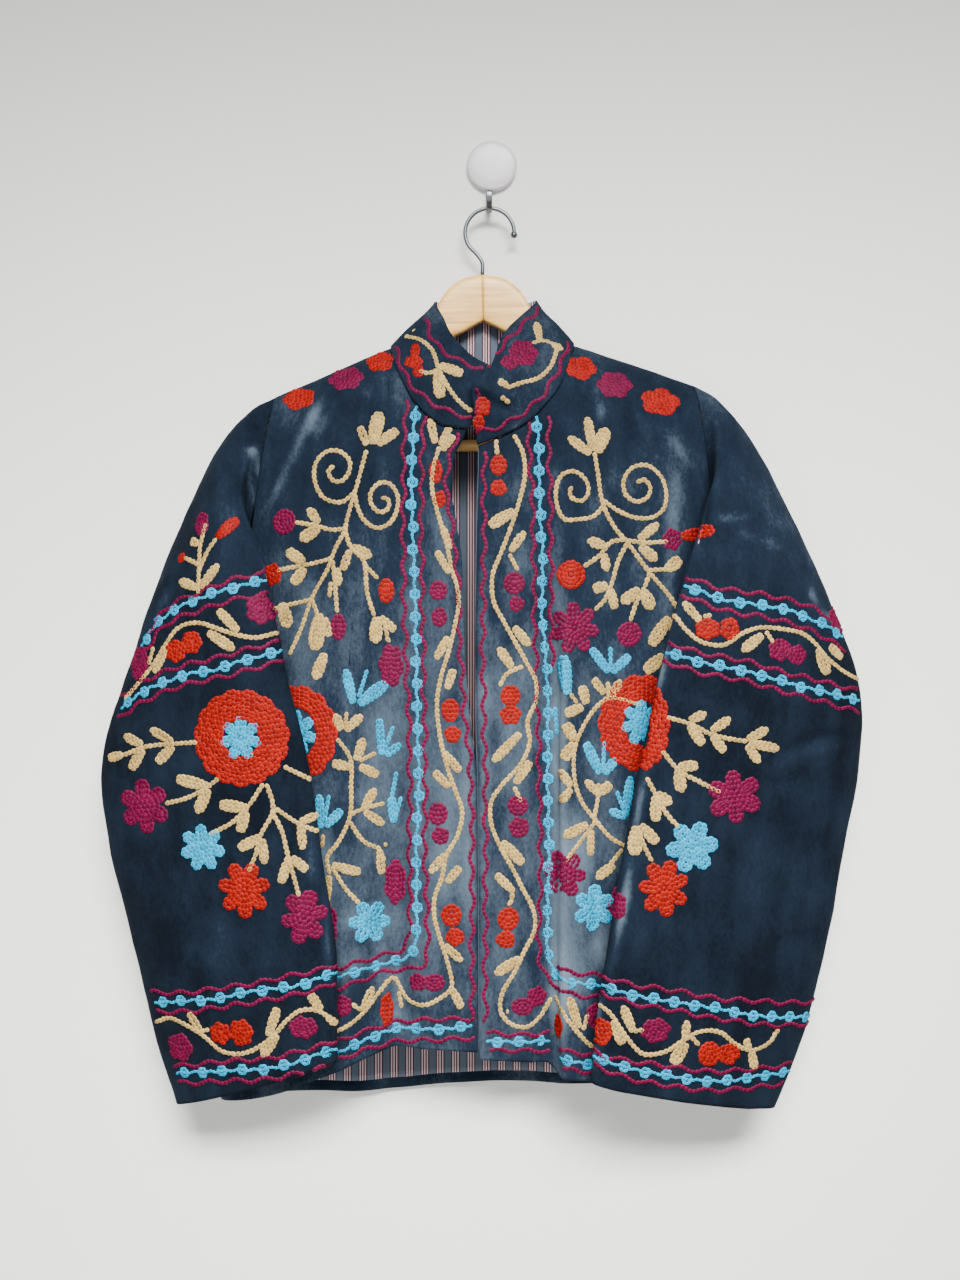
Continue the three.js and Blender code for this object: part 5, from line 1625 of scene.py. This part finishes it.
def arm_surface(sign):
    """The surface of one arm of the hanger: sign is -1 for the right and 1 for the left."""
    top, under, depth, thick = (smooth_column(ARM_SECTIONS, 0, column) for column in (1, 2, 3, 4))
    inner, outer = ARM_SECTIONS[0][0], ARM_SECTIONS[-1][0]

    def place(s, t):
        x = inner + (outer - inner) * t
        middle, half = (top(x) + under(x)) / 2, (top(x) - under(x)) / 2
        turn = 2 * math.pi * s
        y = depth(x) + thick(x) / 2 * squared(np.cos(turn), 0.45)
        z = middle + half * squared(np.sin(turn), 0.45)
        return hang(np.stack([sign * x, y, z], -1))

    return place


class AddHanger(JacketButton):
    """Add the hanger's arms, bar and hook"""
    bl_idname = "jacket.add_hanger"
    bl_label = "Hanger"

    def build(self, colours, sizes):
        wood = finish_for("varnished_wood", varnished_wood, colours.wood, colours.wood_grain)
        steel = finish_for("plated_steel", steel_wire, colours.steel)
        for side, sign in (("right", -1), ("left", 1)):
            arm = grid_mesh("hanger_arm_" + side, 40, 96, arm_surface(sign), wrapped=True, capped=True)
            make_solid("hanger_arm_" + side, arm, wood)

        def bar(s, t):
            turn = 2 * math.pi * s
            y, z = BAR_Y + BAR_RADIUS * np.cos(turn), BAR_Z + BAR_RADIUS * np.sin(turn)
            return hang(np.stack([BAR_HALF * (2 * t - 1), y, z], -1))

        rod = grid_mesh("hanger_bar", 32, 24, bar, wrapped=True, capped=True)
        make_solid("hanger_bar", rod, wood, bevel=0.5)
        middle_x, middle_z = CROOK
        path = []
        for i in range(17):
            angle = math.radians(CROOK_TIP + CROOK_SWEEP * i / 16)
            path.append((middle_x + CROOK_RADIUS * math.cos(angle), HOOK_Y,
                         middle_z + CROOK_RADIUS * math.sin(angle)))
        path += [(0, HOOK_Y, -88), (0, HOOK_Y, -99.1)]

        def wire(s, t):
            spot, run, turn = swept(path, s, t)
            side = np.stack([-run[:, 2], 0 * run[:, 0], run[:, 0]], -1)
            out = side * np.cos(turn)[:, None] + np.array([0, 1, 0]) * np.sin(turn)[:, None]
            return hang(spot + WIRE_RADIUS * out)

        hook = grid_mesh("hanger_hook", 20, 120, wire, wrapped=True, capped=True)
        # the wire ends in a small ball
        ball = bmesh.new()
        ball.from_mesh(hook)
        tip = Matrix.Translation(hang(np.array([path[0]]))[0] * MM)
        bmesh.ops.create_uvsphere(ball, u_segments=28, v_segments=18, radius=TIP_RADIUS * MM, matrix=tip)
        ball.to_mesh(hook)
        ball.free()
        hook.shade_smooth()
        make_solid("hanger_hook", hook, steel)


class AddWallHook(JacketButton):
    """Add the wall hook's disc and prong"""
    bl_idname = "jacket.add_wall_hook"
    bl_label = "Wall hook"

    def build(self, colours, sizes):
        def disc(s, t):
            profile = curve_through(DISC_PROFILE, t)
            radius, turn = np.maximum(profile[:, 0], 0) * (t > 0) * (t < 1), 2 * math.pi * s
            return np.stack([radius * np.cos(turn), profile[:, 1], radius * np.sin(turn)], -1)

        plastic = finish_for("moulded_plastic", glossy_plastic, colours.plastic)
        button = grid_mesh("wall_hook_disc", 80, 44, disc, wrapped=True, capped=True)
        make_solid("wall_hook_disc", button, plastic)
        # the loop's inside just clears the top of the hanger's wire
        rise = PRONG_LOOP - STRIP_HALF_THICKNESS
        middle = CROOK[1] + CROOK_RADIUS - (WIRE_RADIUS + PRONG_GAP) + rise
        near, far = HOOK_Y - PRONG_LOOP, HOOK_Y + PRONG_LOOP
        path = [(far, -22.4), (far, middle + 0.4)]
        for i in range(15):
            angle = math.pi * i / 14
            path.append((HOOK_Y + PRONG_LOOP * math.cos(angle), middle - PRONG_LOOP * math.sin(angle)))
        path.append((near, -30))

        def strip(s, t):
            spot, run, turn = swept(path, s, t)
            x = PRONG_X + STRIP_HALF_WIDTH * squared(np.cos(turn), 0.35)
            out = STRIP_HALF_THICKNESS * squared(np.sin(turn), 0.35)
            return np.stack([x, spot[:, 0] + out * run[:, 1], spot[:, 1] - out * run[:, 0]], -1)

        steel = finish_for("plated_steel", steel_wire, colours.steel)
        prong = grid_mesh("wall_hook_prong", 24, 90, strip, wrapped=True, capped=True)
        make_solid("wall_hook_prong", prong, steel)


class AddStage(JacketButton):
    """Add the wall, the floor, the lights and the camera"""
    bl_idname = "jacket.add_stage"
    bl_label = "Stage"

    def build(self, colours, sizes):
        def sweep(s, t):
            # down the wall for the first 0.45 of t, round the bend to 0.6, then forward along the floor
            down, bend = np.minimum(t / 0.45, 1), np.clip((t - 0.45) / 0.15, 0, 1) * math.pi / 2
            z = WALL_TOP + (WALL_FOOT - WALL_TOP) * down - WALL_BEND * np.sin(bend)
            y = -WALL_BEND * (1 - np.cos(bend)) - FLOOR_REACH * np.maximum(t - 0.6, 0) / 0.4
            return np.stack([WALL_WIDTH * (s - 0.5), y, z], -1)

        wall = new_object("wall", grid_mesh("wall", 24, 80, sweep))
        wall.data.materials.append(finish_for("wall_paint", painted_wall, colours.wall))
        scene = bpy.context.scene
        for name, place, aim, across, up, angle, power, warmth in LIGHTS:
            lamp = bpy.data.lights.new(name, "AREA")
            lamp.shape, lamp.size, lamp.size_y = "RECTANGLE", across, up
            lamp.energy, lamp.color, lamp.spread = power, warmth, math.radians(angle)
            holder = bpy.data.objects.new(name, lamp)
            holder.location = place
            holder.rotation_euler = (Vector(aim) - Vector(place)).to_track_quat("-Z", "Y").to_euler()
            scene.collection.objects.link(holder)
        sky = bpy.data.worlds.new("soft_room")
        sky.use_nodes = True
        sky.node_tree.nodes["Background"].inputs["Color"].default_value = ROOM_COLOUR
        sky.node_tree.nodes["Background"].inputs["Strength"].default_value = ROOM_STRENGTH
        scene.world = sky
        lens = bpy.data.cameras.new("camera")
        lens.sensor_fit, lens.sensor_width, lens.lens = "HORIZONTAL", 36, CAMERA_LENS
        camera = bpy.data.objects.new("camera", lens)
        camera.location = CAMERA_PLACE
        camera.rotation_euler = (math.pi / 2, 0, 0)
        scene.collection.objects.link(camera)
        scene.camera = camera


class JacketPanel(bpy.types.Panel):
    """The jacket's pieces, in the order they are made"""
    bl_idname = "VIEW3D_PT_jacket"
    bl_label = "Embroidered jacket"
    bl_space_type = "VIEW_3D"
    bl_region_type = "UI"
    bl_category = "Jacket"

    def draw(self, context):
        for button in BUTTONS:
            self.layout.operator(button.bl_idname)
        for group in (context.scene.jacket_sizes, context.scene.jacket_colours):
            for name in group.__annotations__:
                self.layout.prop(group, name)


BUTTONS = [AddHanger, AddWallHook, AddBody, AddLinings, AddSleeves, AddCollar, AddEmbroidery, AddStage]
CLASSES = [JacketColours, JacketSizes, *BUTTONS, JacketPanel]


def register():
    for kind in CLASSES:
        bpy.utils.register_class(kind)
    bpy.types.Scene.jacket_colours = bpy.props.PointerProperty(type=JacketColours)
    bpy.types.Scene.jacket_sizes = bpy.props.PointerProperty(type=JacketSizes)


def unregister():
    del bpy.types.Scene.jacket_colours, bpy.types.Scene.jacket_sizes
    for kind in reversed(CLASSES):
        bpy.utils.unregister_class(kind)


def main():
    register()
    for button in BUTTONS:
        group, name = button.bl_idname.split(".")
        getattr(getattr(bpy.ops, group), name)()


if __name__ == "__main__":
    main()
